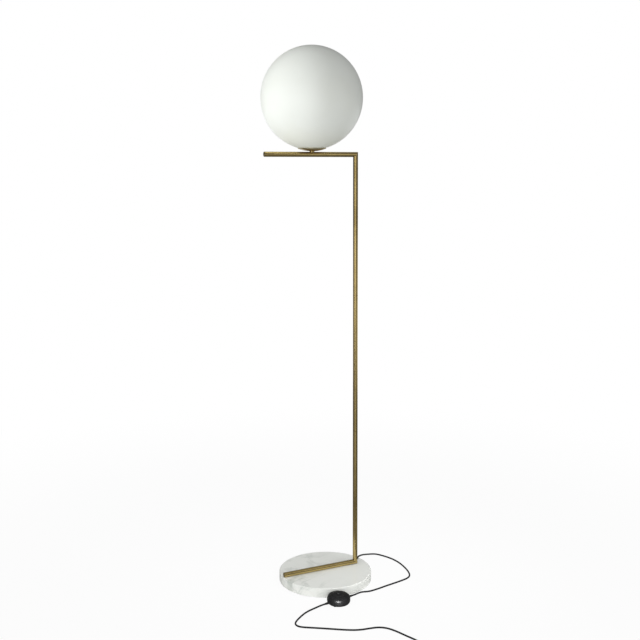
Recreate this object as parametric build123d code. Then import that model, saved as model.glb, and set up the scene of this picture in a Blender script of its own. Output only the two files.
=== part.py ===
from build123d import *
import math
import os

# Floor lamp: an opal glass globe on a slim brass frame that stands on a round marble base,
# with a black lead, an in-line foot switch and a two-pin plug.
# Millimetres, degrees. Origin: centre of the base's underside, on the floor. +Z is up.
# The foot tube and the arm run along X, and the pole stands at their +X end.

# ---------------------------------------------------------------- driving dimensions
# Base
base_radius = 145.0
base_height = 30.0            # floor to the top of the marble
base_top_round = 3.0
base_bottom_round = 1.2
pad_thickness = 2.5
pad_edge = 10.0               # from the pad's rim to the marble's
pad_proud = 1.0               # how far the pad stands below the marble
pad_fit = 0.4

# Frame tube
tube_diameter = 15.0
tube_wall = 1.2
tube_edge = 0.2               # chamfer on the ends where two sections meet
braze_gap = 0.05              # round a piece that is brazed or pressed into the tube
pole_x = 106.5
arm_axis_z = 1327.5
arm_tip_x = -190.5
foot_tip_inset = 3.0          # from the foot tube's tip to the base's rim
cap_length = 2.0
cap_round = 0.8
cap_spigot = 8.0
pole_joints_z = (470.0, 900.0)
joint_depth = 20.0            # of each joint piece inside its section
joint_thread = 15.0           # length of the stud above the joint
joint_bush_wall = 1.3
joint_stud_wall = 1.15

# Fixing of the foot tube to the marble
anchor_places = (-70.0, 50.0)
anchor_length = 18.0
screw_radius = 3.0
screw_depth = 6.5             # of the screw in the tube
screw_head_radius = 5.25
screw_head_height = 3.3
screw_socket_radius = 2.1
screw_socket_depth = 2.0
screw_clearance = 0.4
washer_radius = 8.0
washer_thickness = 1.6
counterbore_margin = 1.0
counterbore_depth = 7.0

# Lead
lead_diameter = 5.0
lead_fit = 0.1                # between the lead and the rubber round it
lead_straight = 10.0          # of the lead beyond a rubber sleeve's tip
stem_bend = 5.5
exit_bend = 6.0
lead_room = 0.4               # between the lead and the inner edge of the top corner
exit_bearing = 45.0           # direction in which the lead leaves the pole, from +X to +Y
exit_rise = 2.5               # of the lead above the foot tube's axis
bush_hole_radius = 4.2
bush_flange_radius = 5.6
bush_flange = 1.6
bush_nose = 17.4
bush_nose_radius = 4.4
bush_tip_radius = 3.3

# Stem and cup
globe_x = -38.0
stem_radius = 4.95
stem_bore_radius = 3.8
thread_fit = 0.05
stem_foot = 3.2               # lower end of the stem, above the arm's axis
block_length = 26.0
block_channel_radius = 3.4
collar_radius = 7.0
collar_height = 2.0           # between the arm and the cup
collar_skirt = 1.5            # how far the collar reaches down beside the arm's top
collar_fit = 0.25
cup_radius = 42.0
cup_height = 9.0
cup_curve = 125.0
cup_flat_radius = 9.0
cup_sheet = 1.2
cup_corner = 1.3
nut_across_flats = 14.0
nut_height = 3.0
plate_radius = 27.0
plate_thickness = 1.0

# Globe and what holds it
globe_radius = 150.0
glass = 3.0
mouth_radius = 34.0
mouth_round = 0.7
rim_gap = 0.4                 # between the cup's rim and the glass
seal_gap = 0.3                # between the seal and the glass
seal_fit = 0.1                # between the seal and the cup
seal_inset = 1.4              # from the mouth to the seal
seal_width = 4.4
clip_count = 3
clip_first = 90.0
clip_width = 8.0
clip_sheet = 0.6
clip_gap = 0.3                # between a clip and the mouth
clip_foot_radius = 20.0
clip_bend = 1.6
clip_tail = 7.0               # how far the clip's end stands above its bulge
clip_lean = 4.0               # how far the clip's end leans in
rivet_radius = 1.4
rivet_head_radius = 2.2
rivet_head = 0.7
rivet_tail = 0.4              # of its lower head, under the plate
rivet_gap = 0.3               # between its head and the lampholder

# Lampholder, heights measured from its foot on the clip plate
holder_radius = 19.5
holder_wall = 1.9
holder_cap_height = 16.0
holder_cap_floor = 3.0
holder_height = 51.0
holder_spigot = 6.0
holder_fit = 0.1
insert_height = 10.0
insert_flange = 2.0
screw_shell_radius = 13.6
screw_shell_sheet = 0.6
screw_shell_height = 24.0
contact_radius = 3.0
contact_height = 3.4
contact_gap = 0.3
terminal_offset = 8.0
terminal_screw_radius = 2.2
stem_in_holder = 4.0
sheath_past_stem = 2.0
core_radius = 1.1
core_offset = 1.2             # of each core in the lead, from its axis
holder_edge = 1.0             # bevel of the lampholder's rim
holder_foot_bevel = 2.0
terminal_hole_gap = 0.2

# Bulb, heights measured from the tip of its centre contact
bulb_radius = 30.0
bulb_height = 106.0
bulb_wall = 1.4
bulb_thread_radius = 13.2
bulb_thread_depth = 0.9
bulb_thread_pitch = 3.6
bulb_thread_turns = 4
bulb_tip_height = 2.0
bulb_tip_radius = 5.0
bulb_cone_top = 6.0
bulb_cap_top = 26.5
bulb_neck_radius = 14.0
bulb_neck_pull = 12.0         # how far the body's curve runs straight at its neck and at its top
bulb_top_pull = 14.0
bulb_body_top = 56.0
led_plate = 1.6

# Foot switch, heights measured from the floor
switch_radius = 35.0
switch_height = 33.0          # to the top of the button
switch_bearing = -102.75      # of the switch's place beside the base
switch_gap = 2.5              # between the switch and the base
switch_turn = 10.0            # of the lead's line through the switch, from +X
switch_wall = 2.2
switch_floor_z = 1.2
switch_split_z = 10.0         # level of the lead and of the joint between the housings
switch_foot_inset = 4.5       # how far the housing draws in at its foot
switch_side_z = 8.5           # lower and upper end of its upright side
switch_shoulder_z = 15.0
switch_dome_swell = 3.0
switch_ring_radius = 23.0     # of the step round the top
switch_ring_z = 28.6
switch_ring_step = 1.6
switch_land_z = 30.4          # of the cover round the button
button_radius = 9.0
button_gap = 0.4
button_travel = 3.0
button_wall = 1.6
button_crown = 2.0
button_flange = 2.0
button_flange_height = 2.0
button_stalk = 3.0            # of the button's inner stalk, which the plunger meets
plunger_radius = 2.4
block_side = 20.0
block_top_z = 16.0
block_well = 8.0
spring_radius = 4.8
spring_wire = 0.8
spring_turns = 5
spring_gap = 0.05             # between the spring's ends and their seats
housing_screw_places = (60.0, 120.0, 240.0, 300.0)
housing_screw_inset = 8.0     # of the screws from the switch's rim
housing_screw_radius = 1.5
housing_screw_depth = 7.0     # of the screws in the cover
housing_head_radius = 3.0
housing_head_height = 1.8
housing_head_sink = 0.6
housing_boss_wall = 1.9
housing_screw_gap = 0.3
cross_width = 0.7             # of the screw heads' cross slots
cross_depth = 0.8
foot_places = (30.0, 150.0, 210.0, 330.0)
foot_inset = 8.0
foot_radius = 3.6
foot_thickness = 2.0
foot_fit = 0.1
sleeve_flange_radius = 4.6
sleeve_flange = 1.4
sleeve_inset = 5.0            # of the flange behind the switch's outer face
sleeve_nose = 13.5
sleeve_radius = 3.9
sleeve_tip_radius = 3.1
clamp_inset = 10.0            # of the clamp's middle from the switch's rim
sheath_past_clamp = 5.0       # how far the lead's sheath reaches past the clamp
clamp_width = 5.0
clamp_thickness = 2.4
clamp_screw_offset = 6.0
clamp_screw_radius = 1.25
clamp_screw_depth = 5.6
clamp_head_radius = 2.2
clamp_head_height = 1.2
clamp_post_radius = 2.4
clamp_squeeze = 0.1           # gap left between the clamp and the lead
terminal_gap = 1.3            # between the contact block and the terminals
terminal_spread = 6.0
terminal_size = (4.5, 5.0, 6.0)
terminal_hole_radius = 0.9
terminal_hole_depth = 2.5

# Stored end of the lead: a tied coil of two layers, and the plug
coil_centre = (17.0, -545.0)
coil_turns = 5.25
coil_radius = 34.5            # of the outer turn
coil_step = 5.6               # from one turn to the next, and from layer to layer
coil_run_in = 14.0            # of the lead before its coil, and after it
plug_run = 36.0               # from the coil's end to the plug, along X
plug_shift = 1.0              # across X
tie_width = 12.0
tie_sheet = 1.2
tie_gap = 0.4
plug_width = 34.0
plug_thickness = 14.0
plug_length = 34.0
plug_corner = 5.0
plug_back_width = 22.0
plug_back_thickness = 11.0
plug_back_corner = 4.0
plug_relief = 22.0
plug_relief_radius = 5.0
plug_relief_tip = 3.2
plug_relief_rings = 5
plug_slot_radius = 3.0
plug_slot_width = 1.2
pin_radius = 2.0
pin_length = 19.0
pin_in_plug = 8.0
pin_tip_round = 1.2
pin_spacing = 18.6

# The lead's route on the floor, from the pole's foot to the switch.
lamp_route = [
    (142.5, 33.5, 37.8), (155.5, 45, 33.5), (169, 59, 26.5), (182.5, 74.5, 19), (194, 87.5, 12.5),
    (204.5, 99, 6.5), (221, 104, 2.8), (237, 96.8, 2.5), (250, 74, 2.5), (262, 47, 2.5),
    (269, 16, 2.5), (269.5, -18, 2.5), (266, -50, 2.5), (260, -78, 2.5), (251, -102, 2.5),
    (235, -117.5, 2.5), (210, -125, 2.5), (181, -131.5, 2.5), (145, -138.5, 2.5), (110, -147, 2.5),
    (77, -152.2, 2.5), (56, -146.2, 3), (42, -151, 4.7), (29.5, -160, 7.6),
]
# The route from the switch to the coil.
plug_route = [
    (-110.5, -187.2, 7.2), (-126, -187.6, 3.9), (-143.5, -191.5, 2.6), (-163, -201.5, 2.5),
    (-184, -217.5, 2.5), (-206, -237.5, 2.5), (-214.8, -251, 2.5), (-214.3, -266, 2.5),
    (-203.5, -278.5, 2.5), (-184, -290.5, 2.5), (-150, -312.5, 2.5),
    (-97, -348.5, 2.5), (-66, -363, 2.5), (-36, -366.5, 2.5), (-8, -371.5, 2.5), (12, -389, 2.5),
    (25, -418, 2.5), (35.5, -451, 2.5), (46.5, -481, 2.5), (50.5, -508, 2.8),
]

# ---------------------------------------------------------------- worked out from them
BOTTOM = (Align.CENTER, Align.CENTER, Align.MIN)
tube_radius = tube_diameter / 2
bore_radius = tube_radius - tube_wall
plug_fit_radius = bore_radius - braze_gap
joint_stud_radius = plug_fit_radius - joint_bush_wall
foot_tip_x = foot_tip_inset - base_radius
lead_radius = lead_diameter / 2
foot_axis_z = base_height + tube_radius
arm_top_z = arm_axis_z + tube_radius
cup_z = arm_top_z + collar_height
exit_z = foot_axis_z + exit_rise
marble_floor_z = pad_proud
recess_z = pad_thickness
plate_z = cup_z + cup_sheet + nut_height
holder_z = plate_z + plate_thickness
insert_z = holder_z + holder_cap_height - holder_spigot + holder_wall
shell_z = insert_z + insert_height
bulb_z = shell_z + contact_height + contact_gap
switch_distance = base_radius + switch_gap + switch_radius
switch_x = switch_distance * math.cos(math.radians(switch_bearing))
switch_y = switch_distance * math.sin(math.radians(switch_bearing))
coil_z = tie_sheet + lead_fit + lead_radius
coil_top_z = coil_z + coil_step
plug_z = plug_thickness / 2

parts = {}


def add(node, solid):
    """Keep one node's solid or group of solids under its name."""
    parts[node] = solid


# ---------------------------------------------------------------- shapes that repeat
def rod(radius, low, high, x=0.0, y=0.0):
    """Round bar that stands along Z between two heights."""
    return Pos(x, y, low) * Cylinder(radius, high - low, align=BOTTOM)


def ring(outer, inner, low, high, x=0.0, y=0.0):
    """Round bar with a bore."""
    return rod(outer, low, high, x, y) - rod(inner, low - 1, high + 1, x, y)


def rod_x(radius, start, end, height):
    """Round bar along X at y = 0."""
    return Pos(start, 0, height) * Rot(0, 90, 0) * Cylinder(radius, end - start, align=BOTTOM)


def turned(*edges):
    """Solid of revolution about Z from the edges of a closed outline in the XZ plane."""
    return revolve(make_face(Wire(list(edges))), axis=Axis.Z)


def turned_points(points):
    """Solid of revolution about Z from the corners (radius, height) of its outline."""
    outline = Polyline(*[(radius, 0, height) for radius, height in points], close=True)
    return revolve(make_face(outline), axis=Axis.Z)


def sphere_height(sphere_radius, radius):
    """How far below its centre a sphere's lower half stands at a radius from its axis."""
    return math.sqrt(sphere_radius**2 - radius**2)


def sphere_arc(sphere_radius, centre_z, start, end):
    """Arc of a sphere's lower half, in the XZ plane, between two radii."""
    middle = (start + end) / 2
    return ThreePointArc(*[
        (radius, 0, centre_z - sphere_height(sphere_radius, radius)) for radius in (start, middle, end)
    ])


def around(count, first, solid):
    """Copies of a solid turned about Z at equal steps."""
    return [Rot(0, 0, first + 360 / count * step) * solid for step in range(count)]


def on_places(places, ring_radius, solid):
    """Copies of a solid at bearings on a ring about Z."""
    return [
        Pos(ring_radius * math.cos(math.radians(bearing)), ring_radius * math.sin(math.radians(bearing)), 0)
        * solid
        for bearing in places
    ]


def group(solids):
    """One node made of separate solids."""
    return Compound(children=[solid.solid() for solid in solids])


# ---------------------------------------------------------------- the lead's paths
def corner_radii(points):
    """Radius of each corner of a route: as large as its two runs allow."""
    corners = []
    for before, corner, after in zip(points, points[1:], points[2:]):
        incoming = Vector(corner) - Vector(before)
        outgoing = Vector(after) - Vector(corner)
        half_turn = math.radians(incoming.get_angle(outgoing)) / 2
        corners.append(0.45 * min(incoming.length, outgoing.length) / math.tan(half_turn))
    return corners


def swept(path, radius):
    """Round tube without a bore along a path."""
    return sweep(Plane(origin=path @ 0, z_dir=path % 0) * Circle(radius), path=path)


def tell(name, solid, path, radius):
    """Print how a tube's volume compares with its section times its length."""
    share = solid.volume / (math.pi * radius**2 * path.length)
    print(f"{name}: length {path.length:.1f} mm, volume / (section x length) {share:.4f}")


def lead_along(name, points):
    """Free stretch of the lead along a route of points."""
    radii = corner_radii(points)
    path = FilletPolyline(*points, radius=radii)
    solid = swept(path, lead_radius)
    print(f"{name}: corner radii", " ".join(f"{radius:.0f}" for radius in radii))
    tell(name, solid, path, lead_radius)
    return solid, path.length


def biarc(start, start_way, end, end_way):
    """Two arcs from one point and direction to another."""
    span = end - start
    ways = start_way + end_way
    spare = 4 - ways.dot(ways)
    along = span.dot(ways)
    reach = (math.sqrt(along**2 + spare * span.dot(span)) - along) / spare
    joint = (start + start_way * reach + end - end_way * reach) / 2
    arcs = []
    halves = ((start, start + start_way * reach, joint), (joint, end - end_way * reach, end))
    for first, corner, last in halves:
        middle = (first + last) / 2
        half_chord = (last - first).length / 2
        rise = half_chord * math.tan(math.acos(min(1.0, half_chord / reach)) / 2)
        arcs.append(ThreePointArc(first, middle + (corner - middle).normalized() * rise, last))
    return arcs


def wound_path(place, turns, steps_per_turn, lead_in):
    """Path along a winding, place(turn), as biarcs, with a straight run at each end."""
    count = round(turns * steps_per_turn)
    nudge = 1e-4
    stations = []
    for step in range(count + 1):
        turn = turns * step / count
        way = (place(turn + nudge) - place(turn - nudge)).normalized()
        stations.append((place(turn), way))
    first, first_way = stations[0]
    last, last_way = stations[-1]
    edges = [Line(first - first_way * lead_in, first)]
    for (start, start_way), (end, end_way) in zip(stations, stations[1:]):
        edges += biarc(start, start_way, end, end_way)
    edges.append(Line(last, last + last_way * lead_in))
    return Wire(edges)


def least_gap(path, radius, turns, samples=60):
    """Least clear gap between neighbouring turns, measured on points of the path."""
    count = round(turns * samples)
    points = [path @ (step / count) for step in range(count + 1)]
    least = min(
        (points[first] - points[second]).length
        for first in range(len(points))
        for second in range(first + samples // 2, len(points))
    )
    return least - 2 * radius


# ---------------------------------------------------------------- base
def make_base():
    disc = rod(base_radius, marble_floor_z, base_height)
    disc = fillet(disc.edges().sort_by(Axis.Z)[-1], base_top_round)
    disc = fillet(disc.edges().sort_by(Axis.Z)[0], base_bottom_round)
    pad_radius = base_radius - pad_edge
    disc -= rod(pad_radius + pad_fit, 0, recess_z)
    ceiling = recess_z + counterbore_depth
    washer_z = ceiling - washer_thickness
    screws, washers, anchors = [], [], []
    for x in anchor_places:
        disc -= rod(washer_radius + counterbore_margin, recess_z - 1, ceiling, x)
        disc -= rod(screw_radius + screw_clearance, ceiling - 1, base_height + 1, x)
        washers.append(ring(washer_radius, screw_radius + screw_clearance / 2, washer_z, ceiling, x))
        head = rod(screw_head_radius, washer_z - screw_head_height, washer_z, x)
        socket = Pos(x, 0, washer_z - screw_head_height) * extrude(
            RegularPolygon(screw_socket_radius, 6), screw_socket_depth)
        shank_top = base_height + tube_wall + screw_depth
        screws.append(head + rod(screw_radius, washer_z, shank_top, x) - socket)
        anchor = rod_x(plug_fit_radius, x - anchor_length / 2, x + anchor_length / 2, foot_axis_z)
        tapped = rod(screw_radius + thread_fit, base_height - 1, shank_top + 1, x)
        anchors.append(anchor - tapped)
    add("marble_base", disc)
    add("base_pad", rod(pad_radius, 0, pad_thickness))
    add("base_screws", group(screws))
    add("base_washers", group(washers))
    add("foot_anchors", group(anchors))


# ---------------------------------------------------------------- frame tubes
def tube_along_x(start, end, height):
    return rod_x(tube_radius, start, end, height) - rod_x(bore_radius, start - 1, end + 1, height)


def end_cap(tip_x, height):
    """Turned cap that closes a tube's tip: a face with a rounded edge and a spigot."""
    face = rod_x(tube_radius, tip_x, tip_x + cap_length, height)
    face = fillet(face.edges().sort_by(Axis.X)[0], cap_round)
    return face + rod_x(plug_fit_radius, tip_x, tip_x + cap_length + cap_spigot, height)


def section(low, high, chamfered):
    """Upright length of tube, its outer edge chamfered where it meets the next section."""
    tube = ring(tube_radius, bore_radius, low, high, pole_x)
    for height in chamfered:
        edge = [
            one for one in tube.edges().filter_by(GeomType.CIRCLE)
            if abs(one.center().Z - height) < 0.01 and abs(one.radius - tube_radius) < 0.01
        ]
        tube = chamfer(edge, tube_edge)
    return tube


def make_frame():
    foot_mitre = Plane(origin=(pole_x, 0, foot_axis_z), z_dir=(1, 0, 1))
    arm_mitre = Plane(origin=(pole_x, 0, arm_axis_z), z_dir=(1, 0, -1))
    beyond = pole_x + tube_diameter

    foot = tube_along_x(foot_tip_x + cap_length, beyond, foot_axis_z)
    foot = split(foot, bisect_by=foot_mitre, keep=Keep.BOTTOM)
    for x in anchor_places:
        foot -= rod(screw_radius + screw_clearance, base_height - 1, base_height + tube_wall + 1, x)
    add("foot_tube", foot)
    add("foot_tube_cap", end_cap(foot_tip_x, foot_axis_z))

    arm = tube_along_x(arm_tip_x + cap_length, beyond, arm_axis_z)
    arm = split(arm, bisect_by=arm_mitre, keep=Keep.BOTTOM)
    arm -= rod(stem_radius + thread_fit, arm_axis_z, arm_top_z + 1, globe_x)
    add("arm_tube", arm)
    add("arm_tube_cap", end_cap(arm_tip_x, arm_axis_z))

    lower_joint, upper_joint = pole_joints_z
    lower = section(base_height - tube_diameter, lower_joint, [lower_joint])
    lower = split(lower, bisect_by=foot_mitre, keep=Keep.TOP)
    lower -= exit_place() * rod(bush_hole_radius, 0, tube_diameter)
    add("pole_lower", lower)
    add("pole_middle", section(lower_joint, upper_joint, [lower_joint, upper_joint]))
    upper = section(upper_joint, arm_top_z + tube_diameter, [upper_joint])
    add("pole_upper", split(upper, bisect_by=arm_mitre, keep=Keep.TOP))

    studs, bushes = [], []
    for joint in pole_joints_z:
        sleeve = rod(plug_fit_radius, joint - joint_depth, joint, pole_x)
        thread = rod(joint_stud_radius, joint, joint + joint_thread, pole_x)
        bore = rod(joint_stud_radius - joint_stud_wall, joint - joint_depth - 1, joint + joint_depth, pole_x)
        studs.append(sleeve + thread - bore)
        hole_radius = joint_stud_radius + thread_fit
        bushes.append(ring(plug_fit_radius, hole_radius, joint, joint + joint_depth, pole_x))
    add("pole_joint_studs", group(studs))
    add("pole_joint_bushes", group(bushes))


# ---------------------------------------------------------------- bush at the pole's foot
def exit_place():
    """Frame with its origin on the pole's axis and its Z along the lead's way out."""
    return Pos(pole_x, 0, exit_z) * Rot(0, 0, exit_bearing) * Rot(0, 90, 0)


def bush_end():
    """Distance of the bush's tip from the pole's axis."""
    return tube_radius + bush_flange + bush_nose


def make_exit_bush():
    flange_end = tube_radius + bush_flange
    flange = rod(bush_flange_radius, bore_radius, flange_end)
    pole = Rot(0, -90, 0) * Rot(0, 0, -exit_bearing) * rod(tube_radius, -tube_diameter, tube_diameter)
    flange -= pole
    inner = rod(bush_hole_radius - thread_fit, bore_radius, flange_end)
    nose = Pos(0, 0, flange_end) * Cone(bush_nose_radius, bush_tip_radius, bush_nose, align=BOTTOM)
    bush = flange + inner + nose - rod(lead_radius + lead_fit, 0, bush_end() + 1)
    add("lead_bush", exit_place() * bush)


# ---------------------------------------------------------------- stem and cup
def cup_centre_z():
    """Centre of the cup's outer sphere, which its flat foot cuts."""
    return cup_z + sphere_height(cup_curve, cup_flat_radius)


def globe_centre_z():
    """Centre of the globe: the glass passes just over the middle of the cup's rim."""
    rim_radius = cup_radius - cup_sheet / 2
    return cup_z + cup_height + rim_gap + sphere_height(globe_radius, rim_radius)


def make_stem():
    at_globe = Pos(globe_x, 0, 0)
    block = rod_x(plug_fit_radius, globe_x - block_length / 2, globe_x + block_length / 2, arm_axis_z)
    block -= rod(stem_radius + thread_fit, arm_axis_z - block_channel_radius, arm_top_z, globe_x)
    block -= rod_x(block_channel_radius, globe_x, globe_x + block_length, arm_axis_z)
    add("arm_stem_block", block)

    collar = rod(collar_radius, arm_top_z - collar_skirt, cup_z, globe_x)
    collar -= rod_x(tube_radius, globe_x - tube_diameter, globe_x + tube_diameter, arm_axis_z)
    add("stem_collar", collar - rod(stem_radius + collar_fit, arm_axis_z, cup_z + 1, globe_x))

    stem_top = holder_z + stem_in_holder
    add("stem", at_globe * ring(stem_radius, stem_bore_radius, arm_axis_z + stem_foot, stem_top))

    nut = extrude(RegularPolygon(nut_across_flats / math.sqrt(3), 6), nut_height)
    nut = Pos(0, 0, cup_z + cup_sheet) * nut - rod(stem_radius + thread_fit, 0, stem_top)
    add("stem_nut", at_globe * nut)

    centre = cup_centre_z()
    inner_curve = cup_curve - cup_sheet
    inner_radius = cup_radius - cup_sheet
    hole = stem_radius + collar_fit
    inner_floor = cup_z + cup_sheet
    inner_flat = math.sqrt(inner_curve**2 - (centre - inner_floor)**2)
    wall_foot = centre - sphere_height(cup_curve, cup_radius - cup_corner)
    inner_foot = centre - sphere_height(inner_curve, inner_radius)
    rim_z = cup_z + cup_height - cup_sheet / 2
    outer_turn = (cup_radius - cup_corner * 0.3, 0, wall_foot + cup_corner * 0.4)
    wall_start = (cup_radius, 0, wall_foot + cup_corner)
    cup = turned(
        Line((hole, 0, cup_z), (cup_flat_radius, 0, cup_z)),
        sphere_arc(cup_curve, centre, cup_flat_radius, cup_radius - cup_corner),
        ThreePointArc((cup_radius - cup_corner, 0, wall_foot), outer_turn, wall_start),
        Line(wall_start, (cup_radius, 0, rim_z)),
        ThreePointArc((cup_radius, 0, rim_z), (cup_radius - cup_sheet / 2, 0, cup_z + cup_height),
                      (inner_radius, 0, rim_z)),
        Line((inner_radius, 0, rim_z), (inner_radius, 0, inner_foot)),
        sphere_arc(inner_curve, centre, inner_radius, inner_flat),
        Line((inner_flat, 0, inner_floor), (hole, 0, inner_floor)),
        Line((hole, 0, inner_floor), (hole, 0, cup_z)),
    )
    add("globe_cup", at_globe * cup)


def make_globe_holding():
    at_globe = Pos(globe_x, 0, 0)
    seal_in = mouth_radius + seal_inset
    seal_out = seal_in + seal_width
    cup_curve_z = cup_centre_z()
    glass_z = globe_centre_z()
    rest_curve = cup_curve - cup_sheet - seal_fit
    seat_curve = globe_radius + seal_gap

    def cup_at(radius):
        return (radius, 0, cup_curve_z - sphere_height(rest_curve, radius))

    def glass_at(radius):
        return (radius, 0, glass_z - sphere_height(seat_curve, radius))

    seal = turned(
        sphere_arc(rest_curve, cup_curve_z, seal_in, seal_out),
        Line(cup_at(seal_out), glass_at(seal_out)),
        sphere_arc(seat_curve, glass_z, seal_out, seal_in),
        Line(glass_at(seal_in), cup_at(seal_in)),
    )
    add("globe_seal", at_globe * seal)

    plate = ring(plate_radius, stem_radius + collar_fit, plate_z, holder_z)
    rivet_ring = holder_radius + rivet_head_radius + rivet_gap
    rivet_hole = rod(rivet_radius + thread_fit, plate_z - 1, holder_z + 1, rivet_ring)
    for hole in around(clip_count, clip_first, rivet_hole):
        plate -= hole
    add("clip_plate", at_globe * plate)

    half_sheet = clip_sheet / 2
    bulge = mouth_radius - clip_gap - half_sheet
    mouth_top = glass_z - sphere_height(globe_radius - glass, mouth_radius)
    foot_z = holder_z + half_sheet
    path = FilletPolyline(
        (clip_foot_radius, 0, foot_z), (plate_radius - clip_bend, 0, foot_z), (bulge, 0, mouth_top),
        (bulge - clip_lean, 0, mouth_top + clip_tail), radius=clip_bend)
    start = Plane(origin=path @ 0, x_dir=(0, 1, 0), z_dir=path % 0)
    clip = sweep(start * Rectangle(clip_width, clip_sheet), path=path)
    clip -= rod(rivet_radius + thread_fit, plate_z, foot_z + clip_sheet, rivet_ring)
    add("globe_clips", group([at_globe * one for one in around(clip_count, clip_first, clip)]))

    head_z = holder_z + clip_sheet
    rivet = rod(rivet_radius, plate_z - rivet_tail, head_z, rivet_ring)
    rivet += rod(rivet_head_radius, head_z, head_z + rivet_head, rivet_ring)
    rivet += rod(rivet_head_radius, plate_z - rivet_tail, plate_z, rivet_ring)
    add("clip_rivets", group([at_globe * one for one in around(clip_count, clip_first, rivet)]))


def make_globe():
    centre = globe_centre_z()
    inner = globe_radius - glass
    low_outer = centre - sphere_height(globe_radius, mouth_radius)
    low_inner = centre - sphere_height(inner, mouth_radius)
    shell = turned(
        ThreePointArc((mouth_radius, 0, low_outer), (globe_radius, 0, centre), (0, 0, centre + globe_radius)),
        Line((0, 0, centre + globe_radius), (0, 0, centre + inner)),
        ThreePointArc((0, 0, centre + inner), (inner, 0, centre), (mouth_radius, 0, low_inner)),
        Line((mouth_radius, 0, low_inner), (mouth_radius, 0, low_outer)),
    )
    shell = fillet(shell.edges().filter_by(GeomType.CIRCLE).filter_by(
        lambda edge: abs(edge.radius - mouth_radius) < 0.01), mouth_round)
    add("glass_globe", Pos(globe_x, 0, 0) * shell)


# ---------------------------------------------------------------- lampholder
def make_lampholder():
    at_globe = Pos(globe_x, 0, 0)
    cap_top = holder_z + holder_cap_height
    inner = holder_radius - holder_wall
    cap = turned_points([
        (stem_radius + thread_fit, holder_z), (holder_radius - holder_foot_bevel, holder_z),
        (holder_radius, holder_z + holder_foot_bevel),
        (holder_radius, cap_top), (inner, cap_top), (inner, holder_z + holder_cap_floor),
        (stem_radius + thread_fit, holder_z + holder_cap_floor),
    ])
    add("lampholder_cap", at_globe * cap)

    spigot = inner - holder_fit
    throat = spigot - holder_wall
    spigot_z = cap_top - holder_spigot
    shoulder_z = insert_z + insert_height - insert_flange
    body_top = holder_z + holder_height
    body = turned_points([
        (throat, spigot_z), (spigot, spigot_z), (spigot, cap_top), (holder_radius, cap_top),
        (holder_radius, body_top - holder_edge), (holder_radius - holder_edge, body_top), (inner, body_top),
        (inner, shoulder_z), (throat, shoulder_z),
    ])
    add("lampholder_body", at_globe * body)

    insert = rod(throat - holder_fit, insert_z, shell_z)
    insert += rod(inner - holder_fit, shoulder_z, shell_z)
    for side in (-1, 1):
        insert -= rod(terminal_screw_radius + thread_fit, shoulder_z, shell_z + 1, side * terminal_offset)
        insert -= rod(core_radius + thread_fit, insert_z - 1, shoulder_z + 1, side * terminal_offset)
    add("lampholder_insert", at_globe * insert)

    shell_outer = screw_shell_radius + screw_shell_sheet
    shell = ring(shell_outer, screw_shell_radius, shell_z, shell_z + screw_shell_height)
    foot_hole = terminal_offset + terminal_screw_radius + terminal_hole_gap
    shell += ring(shell_outer, foot_hole, shell_z, shell_z + screw_shell_sheet)
    add("lampholder_screw_shell", at_globe * shell)

    tongue = rod(contact_radius, shell_z, shell_z + contact_height)
    tongue = fillet(tongue.edges().sort_by(Axis.Z)[-1], contact_radius / 2)
    add("lampholder_contact", at_globe * tongue)

    screws = []
    for side in (-1, 1):
        screw = rod(terminal_screw_radius, shoulder_z, shell_z, side * terminal_offset)
        screws.append(at_globe * screw)
    add("lampholder_terminals", group(screws))


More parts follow.
